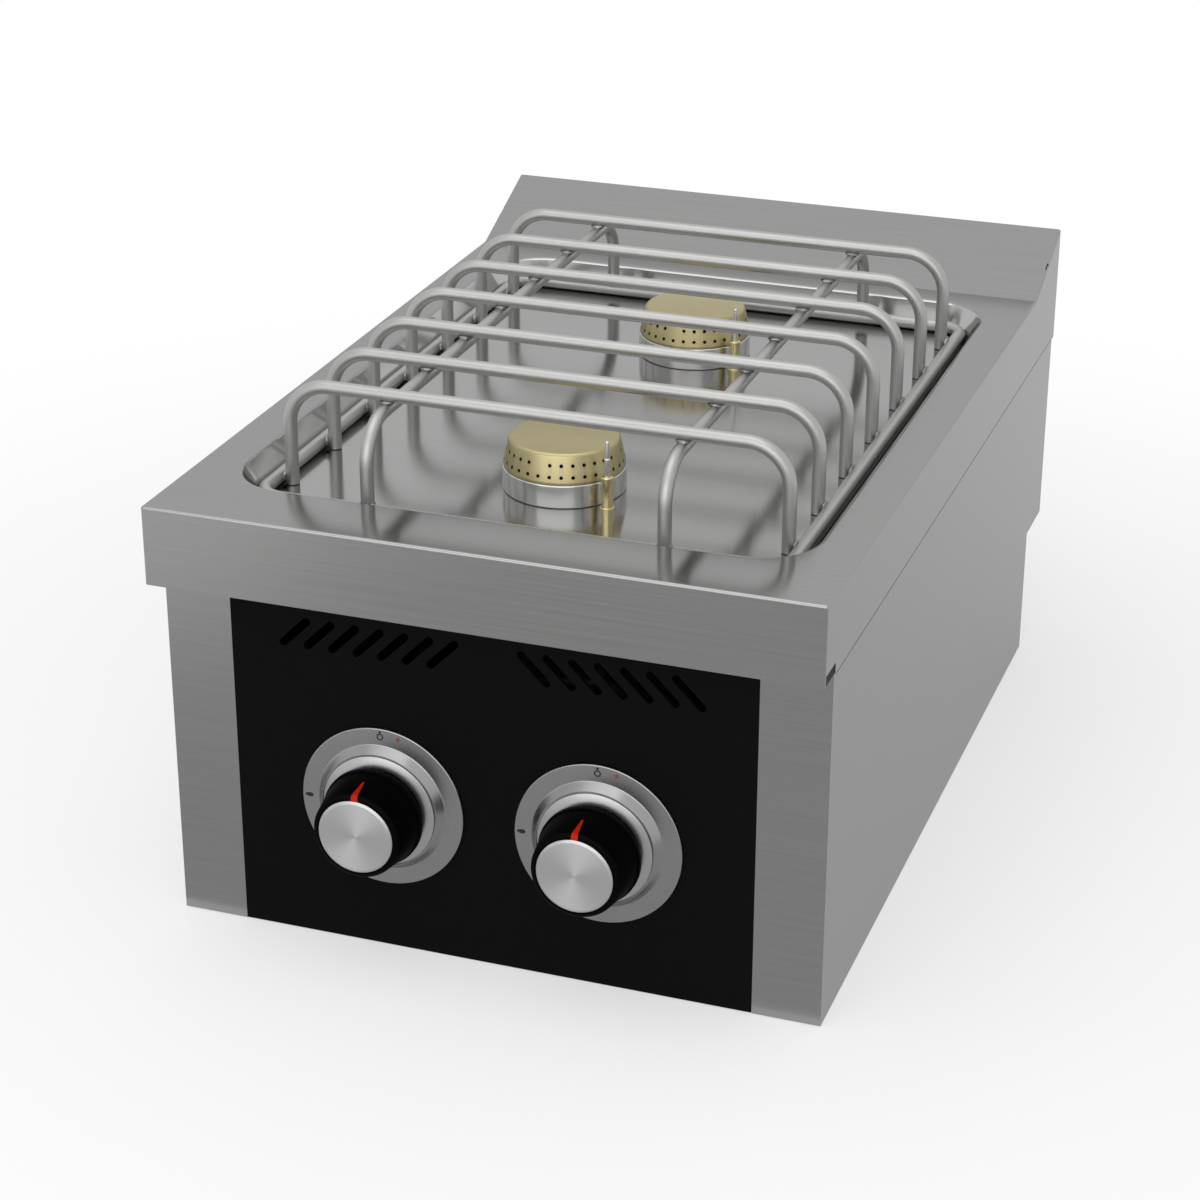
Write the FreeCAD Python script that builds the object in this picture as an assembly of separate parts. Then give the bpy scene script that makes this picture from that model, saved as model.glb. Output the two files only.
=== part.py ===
import FreeCAD, Part
import math
import os

V = FreeCAD.Vector

# Two burner gas range. Millimetres, X to the right, Y to the back, Z up.
# The origin is the middle of the footprint, on the surface that the range stands on.

# Folded sheet body
width = 400.0               # across the deck
depth = 600.0               # front apron to back flange
deck_height = 270.0
apron_height = 48.0
apron_overhang = 21.6       # apron in front of the body
splash_rise = 30.0          # slope at the back of the deck
splash_run = 74.0
sheet = 1.0
fold_radius = 1.6           # outside radius of the folds
apron_lip_gap = 1.2         # from the flange under the apron to the body
relief_height = 7.0         # corner relief at the front end of the side skirts
relief_length = 18.5
splash_slot_length = 7.0    # relief slot in the fold at each side of the splash
splash_slot_width = 1.4
splash_slot_back = 39.7     # its middle to the back of the deck
step_height = 88.0          # recess at the lower back, for the gas connection
step_depth = 45.4
flange = 15.0               # inward flanges of the side panels
tray_lip = 12.0             # upstands of the bottom panel
front_lip = 20.0

# Pressed well in the deck
well_side_margin = 26.0     # edge of the well to the side of the deck
well_front_margin = 47.0    # to the front of the deck
well_back_margin = 21.0     # to the foot of the splash
well_depth = 16.0
well_run = 10.0             # how far its walls lean in
well_corner = 38.0
well_rounding = 3.0

# Control panel and vents
panel_width = 315.6
panel_tuck = 24.0           # top of the panel behind the apron
panel_sheet = 2.0
panel_lift = 0.3
vent_count = 7              # slots on each side
vent_pitch = 15.1
vent_first = 27.4           # X of the slot nearest to the middle
vent_height = 195.7
vent_length = 26.0
vent_width = 5.0
vent_slant = 45.0

# Taps, measured forward from the front of the control panel
tap_spacing = 132.0
tap_height = 93.5
bezel_radius = 50.3
bezel_thickness = 2.6
bezel_foot_radius = 39.7    # foot of the cone that rises from the flat rim
bezel_top_radius = 35.8
bezel_height = 9.2
bezel_gap = 2.1             # bezel to the neck of the knob
knob_neck_radius = 25.0
knob_sink = 4.2             # end of the neck inside the bezel
knob_skirt_radius = 30.4
knob_skirt = 3.6            # upright edge of the skirt
knob_stand = 0.8            # skirt to the bezel, with the knob pushed in
knob_step = 0.9             # ledge from the skirt in to the flank
knob_shoulder_radius = 26.2
knob_shoulder = 0.9         # shoulder to the end of the knob
knob_top_radius = 24.2
knob_height = 40.6
knob_wall = 2.5
knob_hub_radius = 8.0
knob_crown = 6.0            # solid end of the knob, under the cap
cap_disc_rim = 1.6          # rim of the knob round the cap disc
cap_disc_thickness = 2.2
cap_disc_pocket = 1.2
pointer_length = 13.0
pointer_wide = 4.4
pointer_narrow = 1.4
pointer_depth = 0.8
push_travel = 4.0

# Gas valve
panel_hole_radius = 8.0
rail_depth = 8.4            # panel to the rail's web
rail_sheet = 2.0
rail_height = 48.0
bonnet_thickness = 4.0
valve_radius = 13.0
valve_length = 52.0
valve_bore = 8.0
valve_bore_depth = 40.0
magnet_radius = 9.0
magnet_length = 13.0
spindle_radius = 4.0
spindle_neck_radius = 3.0
spindle_flat = 3.0          # axis to the flat of the spindle
spindle_grip = 30.0         # length of the spindle in the knob
collar_radius = 7.0
collar_thickness = 2.0
spring_length = 15.6
spring_wall = 1.8
tang_width = 5.0
tang_thickness = 2.4
tang_length = 8.0
valve_screw_radius = 1.5
valve_screw_length = 14.0

# Gas pipes
manifold_radius = 10.0
manifold_wall = 2.0
manifold_drop = 27.5        # tap axis to the manifold's axis
manifold_back = 34.0        # valve front to the manifold's axis
manifold_tail = 44.0        # left tap to the closed end
saddle_radius = 9.0
outlet_radius = 7.0
outlet_rise = 8.0           # outlet boss above the valve body
gas_way_radius = 3.0
supply_radius = 7.5
supply_wall = 1.5
supply_bend = 18.0
union_radius = 14.0
union_grip = 10.0
union_reach = 32.0          # middle of the union to the supply pipe
inlet_height = 45.0
inlet_inset = 50.0          # from the right side of the deck
inlet_radius = 10.48        # half inch pipe thread
inlet_relief = 0.3          # depth of the thread under the locknut
inlet_free_length = 15.2
inlet_flange_radius = 14.0
inlet_flange_thickness = 5.4
inlet_socket = 12.0
inlet_socket_radius = 11.0
locknut_radius = 15.0
locknut_thickness = 5.0
feed_radius = 4.0
feed_wall = 1.0
feed_bend = 18.0
feed_nut_radius = 7.5
feed_nut_height = 7.0
front_feed_height = 170.0
rear_feed_height = 150.0

# Burners
front_burner_inset = 100.0  # burner axis to the near end of the well
rear_burner_inset = 110.0
ring_radius = 36.4
ring_height = 14.0
neck_radius = 24.0
neck_bore = 20.0
neck_height = 9.0           # neck above the floor of the well
cup_radius = 31.0
cup_height = 31.0
cup_floor = 4.0
venturi_radius = 13.0
venturi_bore = 9.5
venturi_reach = 70.0        # burner axis to the mouth
venturi_drop = 15.0         # floor underside to the venturi's axis
yoke_gap = 14.0             # mouth to the plate that holds the injector
yoke_plate = 4.0
yoke_half_width = 16.0
yoke_bar = 4.0
yoke_bar_height = 8.0
yoke_plate_height = 16.0
injector_block = 10.0
injector_half_width = 8.0
injector_half_height = 10.0
injector_shank = 5.0
injector_tip_radius = 4.0
injector_tip_length = 8.0
injector_jet = 0.7
pipe_insertion = 8.0        # depth of the feed pipe in its sockets

# Brass burner caps
cap_radius = 36.0
cap_top_radius = 32.4
cap_height = 18.0
cap_edge = 1.5              # upright edge of the rim
cap_rounding = 1.2
cap_wall = 3.0
cap_rim_floor = 2.0
spigot_radius = 28.7
spigot_wall = 1.7
spigot_gap = 1.0            # spigot to the shelf of the ring
port_count = 32             # positions round each row
port_radius = 1.1
port_low = 4.2              # rows above the rim
port_high = 11.2
port_skip = 8               # the last of every so many is left out of the upper row

# Thermocouples
probe_gap = 3.7             # collar to the burner ring
probe_bearing = -36.8       # round the burner axis from +X, degrees
probe_radius = 3.6
probe_collar_radius = 4.3
probe_collar = 2.0
probe_height = 20.5         # sleeve above the floor
probe_tail = 7.0            # sleeve under the floor
probe_tip_radius = 1.65
probe_tip_height = 31.0
probe_point_radius = 1.1
probe_point_height = 42.0
probe_nut_radius = 6.5
probe_nut_height = 5.0
lead_radius = 1.25
lead_bend = 12.0
lead_nut_radius = 4.5
lead_nut_length = 8.0
front_lead_drop = 150.0     # height of the corner of each lead
front_lead_swing = 13.0     # its second corner, behind the burner axis
rear_lead_drop = 120.0
rear_lead_swing = -75.0

# Wire grate
rod_diameter = 8.0
hoop_count = 7
hoop_margin = 13.0          # axis of the hoop legs to the edge of the well's floor
runner_margin = 7.0         # axis of the runner legs to the end of the well's floor
hoop_inset = 32.0           # first hoop to the runner legs
runner_inset = 62.0         # axis of the hoop legs to the runners
grate_height = 67.0         # floor of the well to the top of the bars
hoop_bend = 25.0
ring_bend = 15.0

# Fasteners
rear_screw_radius = 1.6
rear_screw_head_radius = 3.5
rear_screw_length = 6.8
rear_screw_rows = 3
rear_screw_first = 17.0     # lowest screw above the step
rear_screw_pitch = 50.0
screw_head = 2.2            # valve screw head height

# Clearances
sheet_gap = 0.2             # between neighbouring sheets
panel_gap = 0.3             # round the control panel
contact_gap = 0.05          # between seated faces and welded rods
running_gap = 0.05          # turning and sliding fits
slip_gap = 0.3              # loose fits, lifted by hand
seat_gap = 0.1              # grate on the floor of the well

# Levels and planes that several pieces share
half_width = width / 2
deck_front = -depth / 2
deck_back = depth / 2
apron_bottom = deck_height - apron_height
floor_top = deck_height - well_depth
floor_under = floor_top - sheet
well_front = deck_front + well_front_margin
well_back = deck_back - splash_run - well_back_margin
well_middle = (well_front + well_back) / 2
well_length = well_back - well_front
well_width = width - 2 * well_side_margin
body_front = deck_front + apron_overhang
body_back = deck_back - sheet - sheet_gap
body_half = half_width - sheet - sheet_gap
side_inner = body_half - sheet
inner_half = side_inner - sheet_gap
body_top = deck_height - fold_radius - sheet_gap
panel_top = apron_bottom + panel_tuck
strip_edge = panel_width / 2 + panel_gap
panel_back = body_front + panel_sheet
step_back = deck_back - step_depth
rear_face = body_back - sheet - sheet_gap
rail_front = panel_back + rail_depth
rail_back = rail_front + rail_sheet
valve_front = rail_back + bonnet_thickness
valve_back = valve_front + valve_length
magnet_back = valve_back + magnet_length
manifold_y = valve_front + manifold_back
manifold_height = tap_height - manifold_drop
valve_screw_offset = (valve_bore + valve_radius) / 2
outlet_top = tap_height + valve_radius + outlet_rise
tap_places = {"left": -tap_spacing / 2, "right": tap_spacing / 2}
manifold_left = tap_places["left"] - manifold_tail
supply_x = half_width - inlet_inset
manifold_right = supply_x - union_reach
burner_places = {"front": well_front + front_burner_inset, "rear": well_back - rear_burner_inset}
venturi_height = floor_under - venturi_drop
yoke_plate_y = venturi_reach + yoke_gap
injector_y = yoke_plate_y + yoke_plate + injector_block / 2
injector_socket = venturi_height - injector_half_height
ring_top = floor_top + contact_gap + ring_height
spigot_length = ring_height - neck_height - spigot_gap
bezel_bore = knob_neck_radius + bezel_gap
skirt_low = bezel_height + push_travel + knob_stand
cap_disc_radius = knob_top_radius - cap_disc_rim
probe_distance = ring_radius + probe_collar_radius + probe_gap
probe_x = probe_distance * math.cos(math.radians(probe_bearing))
probe_y = probe_distance * math.sin(math.radians(probe_bearing))
hoop_height = floor_top + grate_height - rod_diameter / 2
hoop_half_span = well_width / 2 - well_run - hoop_margin
runner_half_span = hoop_half_span - runner_inset
runner_half_length = well_length / 2 - well_run - runner_margin
hoop_pitch = 2 * (runner_half_length - hoop_inset) / (hoop_count - 1)


def block(x, y, z):
    return Part.makeBox(x[1] - x[0], y[1] - y[0], z[1] - z[0], V(x[0], y[0], z[0]))


def rod(start, end, radius):
    axis = V(*end) - V(*start)
    return Part.makeCylinder(radius, axis.Length, V(*start), axis)


def outwards(side, near, far):
    return tuple(sorted((side * near, side * far)))


def joined(shapes):
    return shapes[0].multiFuse(shapes[1:]).removeSplitter()


def hexagon(start, end, radius):
    # six sided prism, radius to its corners
    axis = V(*end) - V(*start)
    corners = [V(radius * math.cos(k * math.pi / 3), radius * math.sin(k * math.pi / 3), 0) for k in range(7)]
    prism = Part.Face(Part.makePolygon(corners)).extrude(V(0, 0, axis.Length))
    prism.Placement = FreeCAD.Placement(V(*start), FreeCAD.Rotation(V(0, 0, 1), axis))
    return prism


def turned(points):
    # solid of revolution round Z from a closed outline of (radius, height) points
    corners = [V(r, 0, h) for r, h in points]
    corners.append(corners[0])
    return Part.Face(Part.makePolygon(corners)).revolve(V(0, 0, 0), V(0, 0, 1), 360)


def on_panel(shape, x):
    # lays a piece made along Z onto the front of the control panel, at a tap
    shape.rotate(V(0, 0, 0), V(1, 0, 0), 90)
    shape.translate(V(x, body_front, tap_height))
    return shape


def bent_path(points, bend):
    places = [V(*point) for point in points]
    edges = []
    last = places[0]
    for before, corner, after in zip(places, places[1:], places[2:]):
        heading = (corner - before).normalize()
        leaving = (after - corner).normalize()
        half_turn = heading.getAngle(leaving) / 2
        setback = bend * math.tan(half_turn)
        inward = (leaving - heading).normalize()
        start = corner - heading * setback
        middle = corner + inward * (bend / math.cos(half_turn) - bend)
        end = corner + leaving * setback
        edges.append(Part.LineSegment(last, start).toShape())
        edges.append(Part.Arc(start, middle, end).toShape())
        last = end
    edges.append(Part.LineSegment(last, places[-1]).toShape())
    return Part.Wire(edges)


def bent_rod(points, bend, radius):
    path = bent_path(points, bend)
    section = Part.Wire(Part.makeCircle(radius, V(*points[0]), V(*points[1]) - V(*points[0])))
    swept = path.makePipeShell([section], True, False)
    expected = math.pi * radius ** 2 * path.Length
    if abs(swept.Volume - expected) > 0.01 * expected:
        raise ValueError("bent rod volume %.1f, expected %.1f" % (swept.Volume, expected))
    return swept


def bent_tube(points, bend, radius, wall):
    return bent_rod(points, bend, radius).cut(bent_rod(points, bend, radius - wall))


# Deck

splash_lean = math.atan2(splash_rise, splash_run)


def deck_block(inset, bottom, rounding):
    knee = deck_back - splash_run + inset * math.tan(splash_lean / 2)
    top = deck_height - inset
    front = deck_front + inset
    back = deck_back - inset
    ridge = top + (back - knee) * math.tan(splash_lean)
    side = half_width - inset
    profile = [(front, bottom), (front, top), (knee, top), (back, ridge), (back, bottom), (front, bottom)]
    face = Part.Face(Part.makePolygon([V(-side, y, z) for y, z in profile]))
    solid = face.extrude(V(2 * side, 0, 0))
    folds = [edge for edge in solid.Edges if edge.CenterOfMass.z > bottom + 1]
    return solid.makeFillet(rounding, folds)


def well_outline(outset, z):
    grow = outset - well_run * (deck_height - z) / well_depth
    x = well_width / 2 + grow
    y = well_length / 2 + grow
    r = well_corner + grow
    slack = r * (1 - math.sqrt(0.5))
    edges = []
    for turn in range(4):
        near, far = (x, y) if turn % 2 == 0 else (y, x)
        line = Part.LineSegment(V(near, -(far - r), 0), V(near, far - r, 0)).toShape()
        corner = Part.Arc(V(near, far - r, 0), V(near - slack, far - slack, 0), V(near - r, far, 0)).toShape()
        for edge in (line, corner):
            edge.rotate(V(0, 0, 0), V(0, 0, 1), 90 * turn)
            edges.append(edge)
    wire = Part.Wire(edges)
    wire.translate(V(0, well_middle, z))
    return wire


def well_solid(outset, top, bottom):
    return Part.makeLoft([well_outline(outset, top), well_outline(outset, bottom)], True, True)


def edges_at(shape, level):
    return [edge for edge in shape.Edges if all(abs(v.Z - level) < 0.001 for v in edge.Vertexes)
            and abs(edge.CenterOfMass.x) < well_width / 2 + 1
            and abs(edge.CenterOfMass.y - well_middle) < well_length / 2 + 1]


def splash_slot(side):
    near, far = outwards(side, half_width - splash_slot_width, half_width + 1)
    slot = block((near, far), (-splash_slot_length / 2, splash_slot_length / 2), (-splash_slot_width, 1))
    slot.rotate(V(0, 0, 0), V(1, 0, 0), math.degrees(splash_lean))
    rise = (splash_run - splash_slot_back) * math.tan(splash_lean)
    slot.translate(V(0, deck_back - splash_slot_back, deck_height + rise))
    return slot


def deck_top():
    slope = math.hypot(well_run, well_depth) / well_depth
    hollow = deck_block(sheet, apron_bottom - 1, fold_radius - sheet)
    hollow = hollow.cut(well_solid(sheet * slope, deck_height, floor_under))
    deck = deck_block(0, apron_bottom, fold_radius).cut(hollow)
    deck = deck.cut(well_solid(0, deck_height + 1, floor_top))
    deck = deck.makeFillet(well_rounding, edges_at(deck, deck_height))
    deck = deck.makeFillet(well_rounding, edges_at(deck, floor_top))
    inside = half_width - sheet
    apron_back = deck_front + sheet
    under_lip = block((-inside, inside), (apron_back - sheet / 2, body_front - apron_lip_gap),
                      (apron_bottom, apron_bottom + sheet))
    deck = joined([deck, under_lip])
    for side in (-1, 1):
        relief = block(outwards(side, inside, half_width + 1), (apron_back, apron_back + relief_length),
                       (apron_bottom - 1, apron_bottom + relief_height))
        deck = deck.cut(relief).cut(splash_slot(side))
    for y in burner_places.values():
        deck = deck.cut(rod((0, y, floor_under - 1), (0, y, floor_top + 1), neck_radius + slip_gap))
        deck = deck.cut(rod((probe_x, y + probe_y, floor_under - 1), (probe_x, y + probe_y, floor_top + 1),
                            probe_radius + sheet_gap))
    return deck


# Body panels

def rear_screw_places():
    heights = [step_height + rear_screw_first + row * rear_screw_pitch for row in range(rear_screw_rows)]
    return [(side * (body_half - flange / 2), z) for side in (-1, 1) for z in heights]


def drilled_for_rear_screws(shape, gap):
    for x, z in rear_screw_places():
        shape = shape.cut(rod((x, rear_face - 2 * sheet, z), (x, deck_back, z), rear_screw_radius + gap))
    return shape


def side_panel(side):
    wall = block(outwards(side, side_inner, body_half), (body_front, body_back), (0, body_top))
    wall = wall.cut(block(outwards(side, side_inner - 1, body_half + 1), (step_back, body_back + 1),
                          (-1, step_height)))
    strip = block(outwards(side, strip_edge, body_half), (body_front, body_front + sheet), (0, panel_top))
    rear = block(outwards(side, body_half - flange, body_half), (body_back - sheet, body_back),
                 (step_height, body_top))
    return drilled_for_rear_screws(joined([wall, strip, rear]), slip_gap)


def rear_panel():
    plate = block((-inner_half, inner_half), (rear_face - sheet, rear_face),
                  (step_height + sheet_gap, body_top - sheet_gap))
    return drilled_for_rear_screws(plate, running_gap)


def rear_step_panel():
    wall = block((-inner_half, inner_half), (step_back - sheet, step_back), (0, step_height))
    roof = block((-inner_half, inner_half), (step_back - sheet, rear_face),
                 (step_height - sheet, step_height))
    inlet_hole = rod((supply_x, step_back - 2 * sheet, inlet_height),
                     (supply_x, step_back + sheet, inlet_height), inlet_radius + sheet_gap)
    return joined([wall, roof]).cut(inlet_hole)


def bottom_panel():
    front = panel_back + sheet_gap
    back = step_back - sheet - sheet_gap
    parts = [block((-inner_half, inner_half), (front, back), (0, sheet)),
             block((-inner_half, inner_half), (front, front + sheet), (0, front_lip))]
    for side in (-1, 1):
        parts.append(block(outwards(side, inner_half - sheet, inner_half), (front, back), (0, tray_lip)))
    return joined(parts)


def vent_slot(x, slant):
    reach = (vent_length - vent_width) / 2
    radius = vent_width / 2
    front = body_front - 1
    through = panel_sheet + 2
    slot = joined([Part.makeBox(2 * reach, through, vent_width, V(-reach, 0, -radius)),
                   rod((-reach, 0, 0), (-reach, through, 0), radius),
                   rod((reach, 0, 0), (reach, through, 0), radius)])
    slot.rotate(V(0, 0, 0), V(0, 1, 0), -slant)
    slot.translate(V(x, front, vent_height))
    return slot


def control_panel():
    half = panel_width / 2
    panel = block((-half, half), (body_front, panel_back), (panel_lift, panel_top))
    for side in (-1, 1):
        for k in range(vent_count):
            panel = panel.cut(vent_slot(side * (vent_first + k * vent_pitch), -side * vent_slant))
    for x in tap_places.values():
        panel = panel.cut(rod((x, body_front - 1, tap_height), (x, panel_back + 1, tap_height),
                              panel_hole_radius))
    return panel


def valve_rail():
    low = tap_height - rail_height / 2
    high = tap_height + rail_height / 2
    front = panel_back + contact_gap
    rail = joined([block((-inner_half, inner_half), (rail_front, rail_back), (low, high)),
                   block((-inner_half, inner_half), (front, rail_back), (low, low + rail_sheet)),
                   block((-inner_half, inner_half), (front, rail_back), (high - rail_sheet, high))])
    for x in tap_places.values():
        rail = rail.cut(rod((x, rail_front - 1, tap_height), (x, rail_back + 1, tap_height),
                            spindle_radius + 1))
        rail = drilled_for_valve_screws(rail, x, sheet_gap)
    return rail


def rear_panel_screws():
    screws = []
    for x, z in rear_screw_places():
        shank = rod((x, body_back - rear_screw_length, z), (x, body_back, z), rear_screw_radius)
        head = rod((x, body_back, z), (x, deck_back, z), rear_screw_head_radius)
        screws.append(joined([shank, head]))
    return Part.makeCompound(screws)


# Taps

def valve_screw_places(x):
    return [x - valve_screw_offset, x + valve_screw_offset]


def drilled_for_valve_screws(shape, x, gap):
    for place in valve_screw_places(x):
        shape = shape.cut(rod((place, rail_front - 1, tap_height),
                              (place, rail_front + valve_screw_length, tap_height), valve_screw_radius + gap))
    return shape


def valve_screws():
    screws = []
    for x in tap_places.values():
        for place in valve_screw_places(x):
            shank = rod((place, rail_front, tap_height), (place, rail_front + valve_screw_length, tap_height),
                        valve_screw_radius)
            head = rod((place, rail_front - screw_head, tap_height), (place, rail_front, tap_height),
                       2 * valve_screw_radius)
            screws.append(joined([shank, head]))
    return Part.makeCompound(screws)


def valve_body(x):
    body = joined([rod((x, valve_front, tap_height), (x, valve_back, tap_height), valve_radius),
                   rod((x, valve_back, tap_height), (x, magnet_back, tap_height), magnet_radius),
                   rod((x, manifold_y, tap_height), (x, manifold_y, outlet_top), outlet_radius),
                   rod((x, manifold_y, manifold_height), (x, manifold_y, tap_height), saddle_radius)])
    body = body.cut(rod((manifold_left, manifold_y, manifold_height),
                        (manifold_right, manifold_y, manifold_height), manifold_radius + contact_gap))
    body = body.cut(rod((x, valve_front, tap_height), (x, valve_front + valve_bore_depth, tap_height),
                        valve_bore))
    body = body.cut(rod((x, manifold_y, manifold_height), (x, manifold_y, outlet_top), gas_way_radius))
    body = body.cut(rod((x, manifold_y, outlet_top - pipe_insertion), (x, manifold_y, outlet_top),
                        feed_radius + contact_gap))
    return drilled_for_valve_screws(body, x, contact_gap)


def valve_bonnet(x):
    plate = rod((x, rail_back, tap_height), (x, valve_front, tap_height), valve_radius)
    plate = plate.cut(rod((x, rail_back - 1, tap_height), (x, valve_front + 1, tap_height),
                          spindle_radius + running_gap))
    return drilled_for_valve_screws(plate, x, sheet_gap)


collar_front = valve_front + sheet_gap
collar_back = collar_front + collar_thickness
plug_front = collar_back + spring_length + 2 * running_gap
plug_back = valve_front + valve_bore_depth - slip_gap


def valve_plug(x):
    plug = rod((x, plug_front, tap_height), (x, plug_back, tap_height), valve_bore - running_gap)
    slot_half = tang_width / 2 + running_gap
    slot_rise = tang_thickness / 2 + running_gap
    slot_end = plug_front + tang_length + push_travel + slip_gap
    plug = plug.cut(block((x - slot_half, x + slot_half), (plug_front - 1, slot_end),
                          (tap_height - slot_rise, tap_height + slot_rise)))
    # the gas way lies across at rest, and lines up after a quarter turn
    return plug.cut(rod((x - valve_bore, manifold_y, tap_height), (x + valve_bore, manifold_y, tap_height),
                        gas_way_radius))


def spindle_spring(x):
    outer = collar_radius
    ends = ((x, collar_back + running_gap, tap_height), (x, plug_front - running_gap, tap_height))
    return rod(*ends, outer).cut(rod(*ends, outer - spring_wall))


def spindle_tip():
    return body_front - (bezel_height - knob_sink) - spindle_grip


def spindle(x):
    tip = spindle_tip()
    shaft = rod((x, tip, tap_height), (x, collar_front, tap_height), spindle_radius)
    flat = block((x - spindle_radius, x + spindle_radius), (tip - 1, tip + spindle_grip),
                 (tap_height + spindle_flat, tap_height + spindle_radius + 1))
    collar = rod((x, collar_front, tap_height), (x, collar_back, tap_height), collar_radius)
    neck_end = plug_front - push_travel - slip_gap
    neck = rod((x, collar_back, tap_height), (x, neck_end, tap_height), spindle_neck_radius)
    tang = block((x - tang_width / 2, x + tang_width / 2), (collar_back, plug_front + tang_length),
                 (tap_height - tang_thickness / 2, tap_height + tang_thickness / 2))
    return joined([shaft.cut(flat), collar, neck, tang])


def knob_flank(outset):
    # outline of the knob from its skirt to its end, moved outwards
    low = skirt_low + knob_skirt
    high = knob_height - knob_shoulder
    outline = [(knob_skirt_radius, skirt_low), (knob_skirt_radius, low), (knob_skirt_radius - knob_step, low),
               (knob_shoulder_radius, high), (knob_top_radius, knob_height)]
    return [(radius + outset, height) for radius, height in outline]


def knob_form(outset):
    return turned([(0, skirt_low)] + knob_flank(outset) + [(0, knob_height)])


def pointer_inlay():
    end = knob_height - 1
    wedge = [(-pointer_wide / 2, end), (pointer_wide / 2, end), (pointer_narrow / 2, end - pointer_length),
             (-pointer_narrow / 2, end - pointer_length), (-pointer_wide / 2, end)]
    outline = Part.makePolygon([V(x, 0, h) for x, h in wedge])
    prism = Part.Face(outline).extrude(V(0, knob_skirt_radius + 1, 0))
    return prism.common(knob_form(running_gap)).cut(knob_form(-pointer_depth))


def knob_body():
    base = bezel_height - knob_sink
    pocket = cap_disc_radius + contact_gap
    floor = knob_height - cap_disc_pocket
    ceiling = knob_height - knob_crown
    shape = turned([(0, base + 1), (knob_hub_radius, base + 1), (knob_hub_radius, ceiling),
                    (knob_top_radius - knob_wall, ceiling), (knob_neck_radius - knob_wall, base),
                    (knob_neck_radius, base), (knob_neck_radius, skirt_low)]
                   + knob_flank(0) + [(pocket, knob_height), (pocket, floor), (0, floor)])
    grip = base + spindle_grip + contact_gap
    bore = Part.makeCylinder(spindle_radius + contact_gap, grip)
    flat = block((-knob_hub_radius, knob_hub_radius), (spindle_flat + contact_gap, knob_hub_radius),
                 (0, grip))
    return shape.cut(bore.cut(flat)).cut(pointer_inlay())


def knob_cap():
    low = knob_height - cap_disc_pocket + contact_gap
    high = low + cap_disc_thickness
    edge = 0.5
    return turned([(0, low), (cap_disc_radius, low), (cap_disc_radius, high - edge),
                   (cap_disc_radius - edge, high), (0, high)])


def bezel():
    edge = 0.5
    return turned([(bezel_bore, contact_gap), (bezel_radius, contact_gap),
                   (bezel_radius, bezel_thickness - edge), (bezel_radius - edge, bezel_thickness),
                   (bezel_foot_radius, bezel_thickness), (bezel_top_radius, bezel_height - edge),
                   (bezel_top_radius - edge, bezel_height),
                   (bezel_bore + edge, bezel_height), (bezel_bore, bezel_height - edge)])


# Gas pipes

def gas_manifold():
    axis = (manifold_y, manifold_height)
    tube = rod((manifold_left, *axis), (manifold_right, *axis), manifold_radius)
    tube = tube.cut(rod((manifold_left + manifold_wall, *axis), (manifold_right, *axis),
                        manifold_radius - manifold_wall))
    for x in tap_places.values():
        tube = tube.cut(rod((x, *axis), (x, manifold_y, manifold_height + manifold_radius + 1),
                            gas_way_radius))
    return tube


def manifold_union():
    axis = (manifold_y, manifold_height)
    sleeve = hexagon((manifold_right - union_grip, *axis), (manifold_right + union_grip, *axis), union_radius)
    sleeve = sleeve.cut(rod((manifold_right - union_grip, *axis), (manifold_right, *axis),
                            manifold_radius + contact_gap))
    return sleeve.cut(rod((manifold_right, *axis), (manifold_right + union_grip, *axis),
                          supply_radius + contact_gap))


inlet_front = step_back - sheet - sheet_gap - inlet_flange_thickness


def supply_pipe():
    drop = 2.5 * supply_bend
    swing = inlet_front - 3 * supply_bend
    points = [(manifold_right + contact_gap, manifold_y, manifold_height),
              (supply_x, manifold_y, manifold_height), (supply_x, swing - drop, manifold_height),
              (supply_x, swing, inlet_height),
              (supply_x, inlet_front - contact_gap, inlet_height)]
    return bent_tube(points, supply_bend, supply_radius, supply_wall)


def gas_inlet():
    nut_back = step_back + sheet_gap + locknut_thickness
    end = nut_back + inlet_free_length
    flange_back = inlet_front + inlet_flange_thickness
    at = (supply_x, inlet_height)
    shape = joined([rod((at[0], inlet_front - inlet_socket, at[1]), (at[0], inlet_front, at[1]),
                        inlet_socket_radius),
                    hexagon((at[0], inlet_front, at[1]), (at[0], flange_back, at[1]), inlet_flange_radius),
                    rod((at[0], flange_back, at[1]), (at[0], nut_back, at[1]), inlet_radius - inlet_relief),
                    rod((at[0], nut_back, at[1]), (at[0], end, at[1]), inlet_radius)])
    shape = shape.cut(rod((at[0], inlet_front - inlet_socket, at[1]), (at[0], inlet_front, at[1]),
                          supply_radius + contact_gap))
    return shape.cut(rod((at[0], inlet_front, at[1]), (at[0], end, at[1]), supply_radius - supply_wall))


def inlet_locknut():
    front = step_back + sheet_gap
    start = (supply_x, front, inlet_height)
    end = (supply_x, front + locknut_thickness, inlet_height)
    thread = rod(start, end, inlet_radius - inlet_relief + contact_gap)
    return hexagon(start, end, locknut_radius).cut(thread)


def feed_pipe(points):
    tube = bent_rod(points, feed_bend, feed_radius)
    start = V(*points[0])
    end = V(*points[-1])
    low_nut = outlet_top + contact_gap
    high_nut = injector_socket - contact_gap
    nuts = [hexagon((start.x, start.y, low_nut), (start.x, start.y, low_nut + feed_nut_height),
                    feed_nut_radius),
            hexagon((end.x, end.y, high_nut - feed_nut_height), (end.x, end.y, high_nut), feed_nut_radius)]
    return joined([tube, *nuts]).cut(bent_rod(points, feed_bend, feed_radius - feed_wall))


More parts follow.
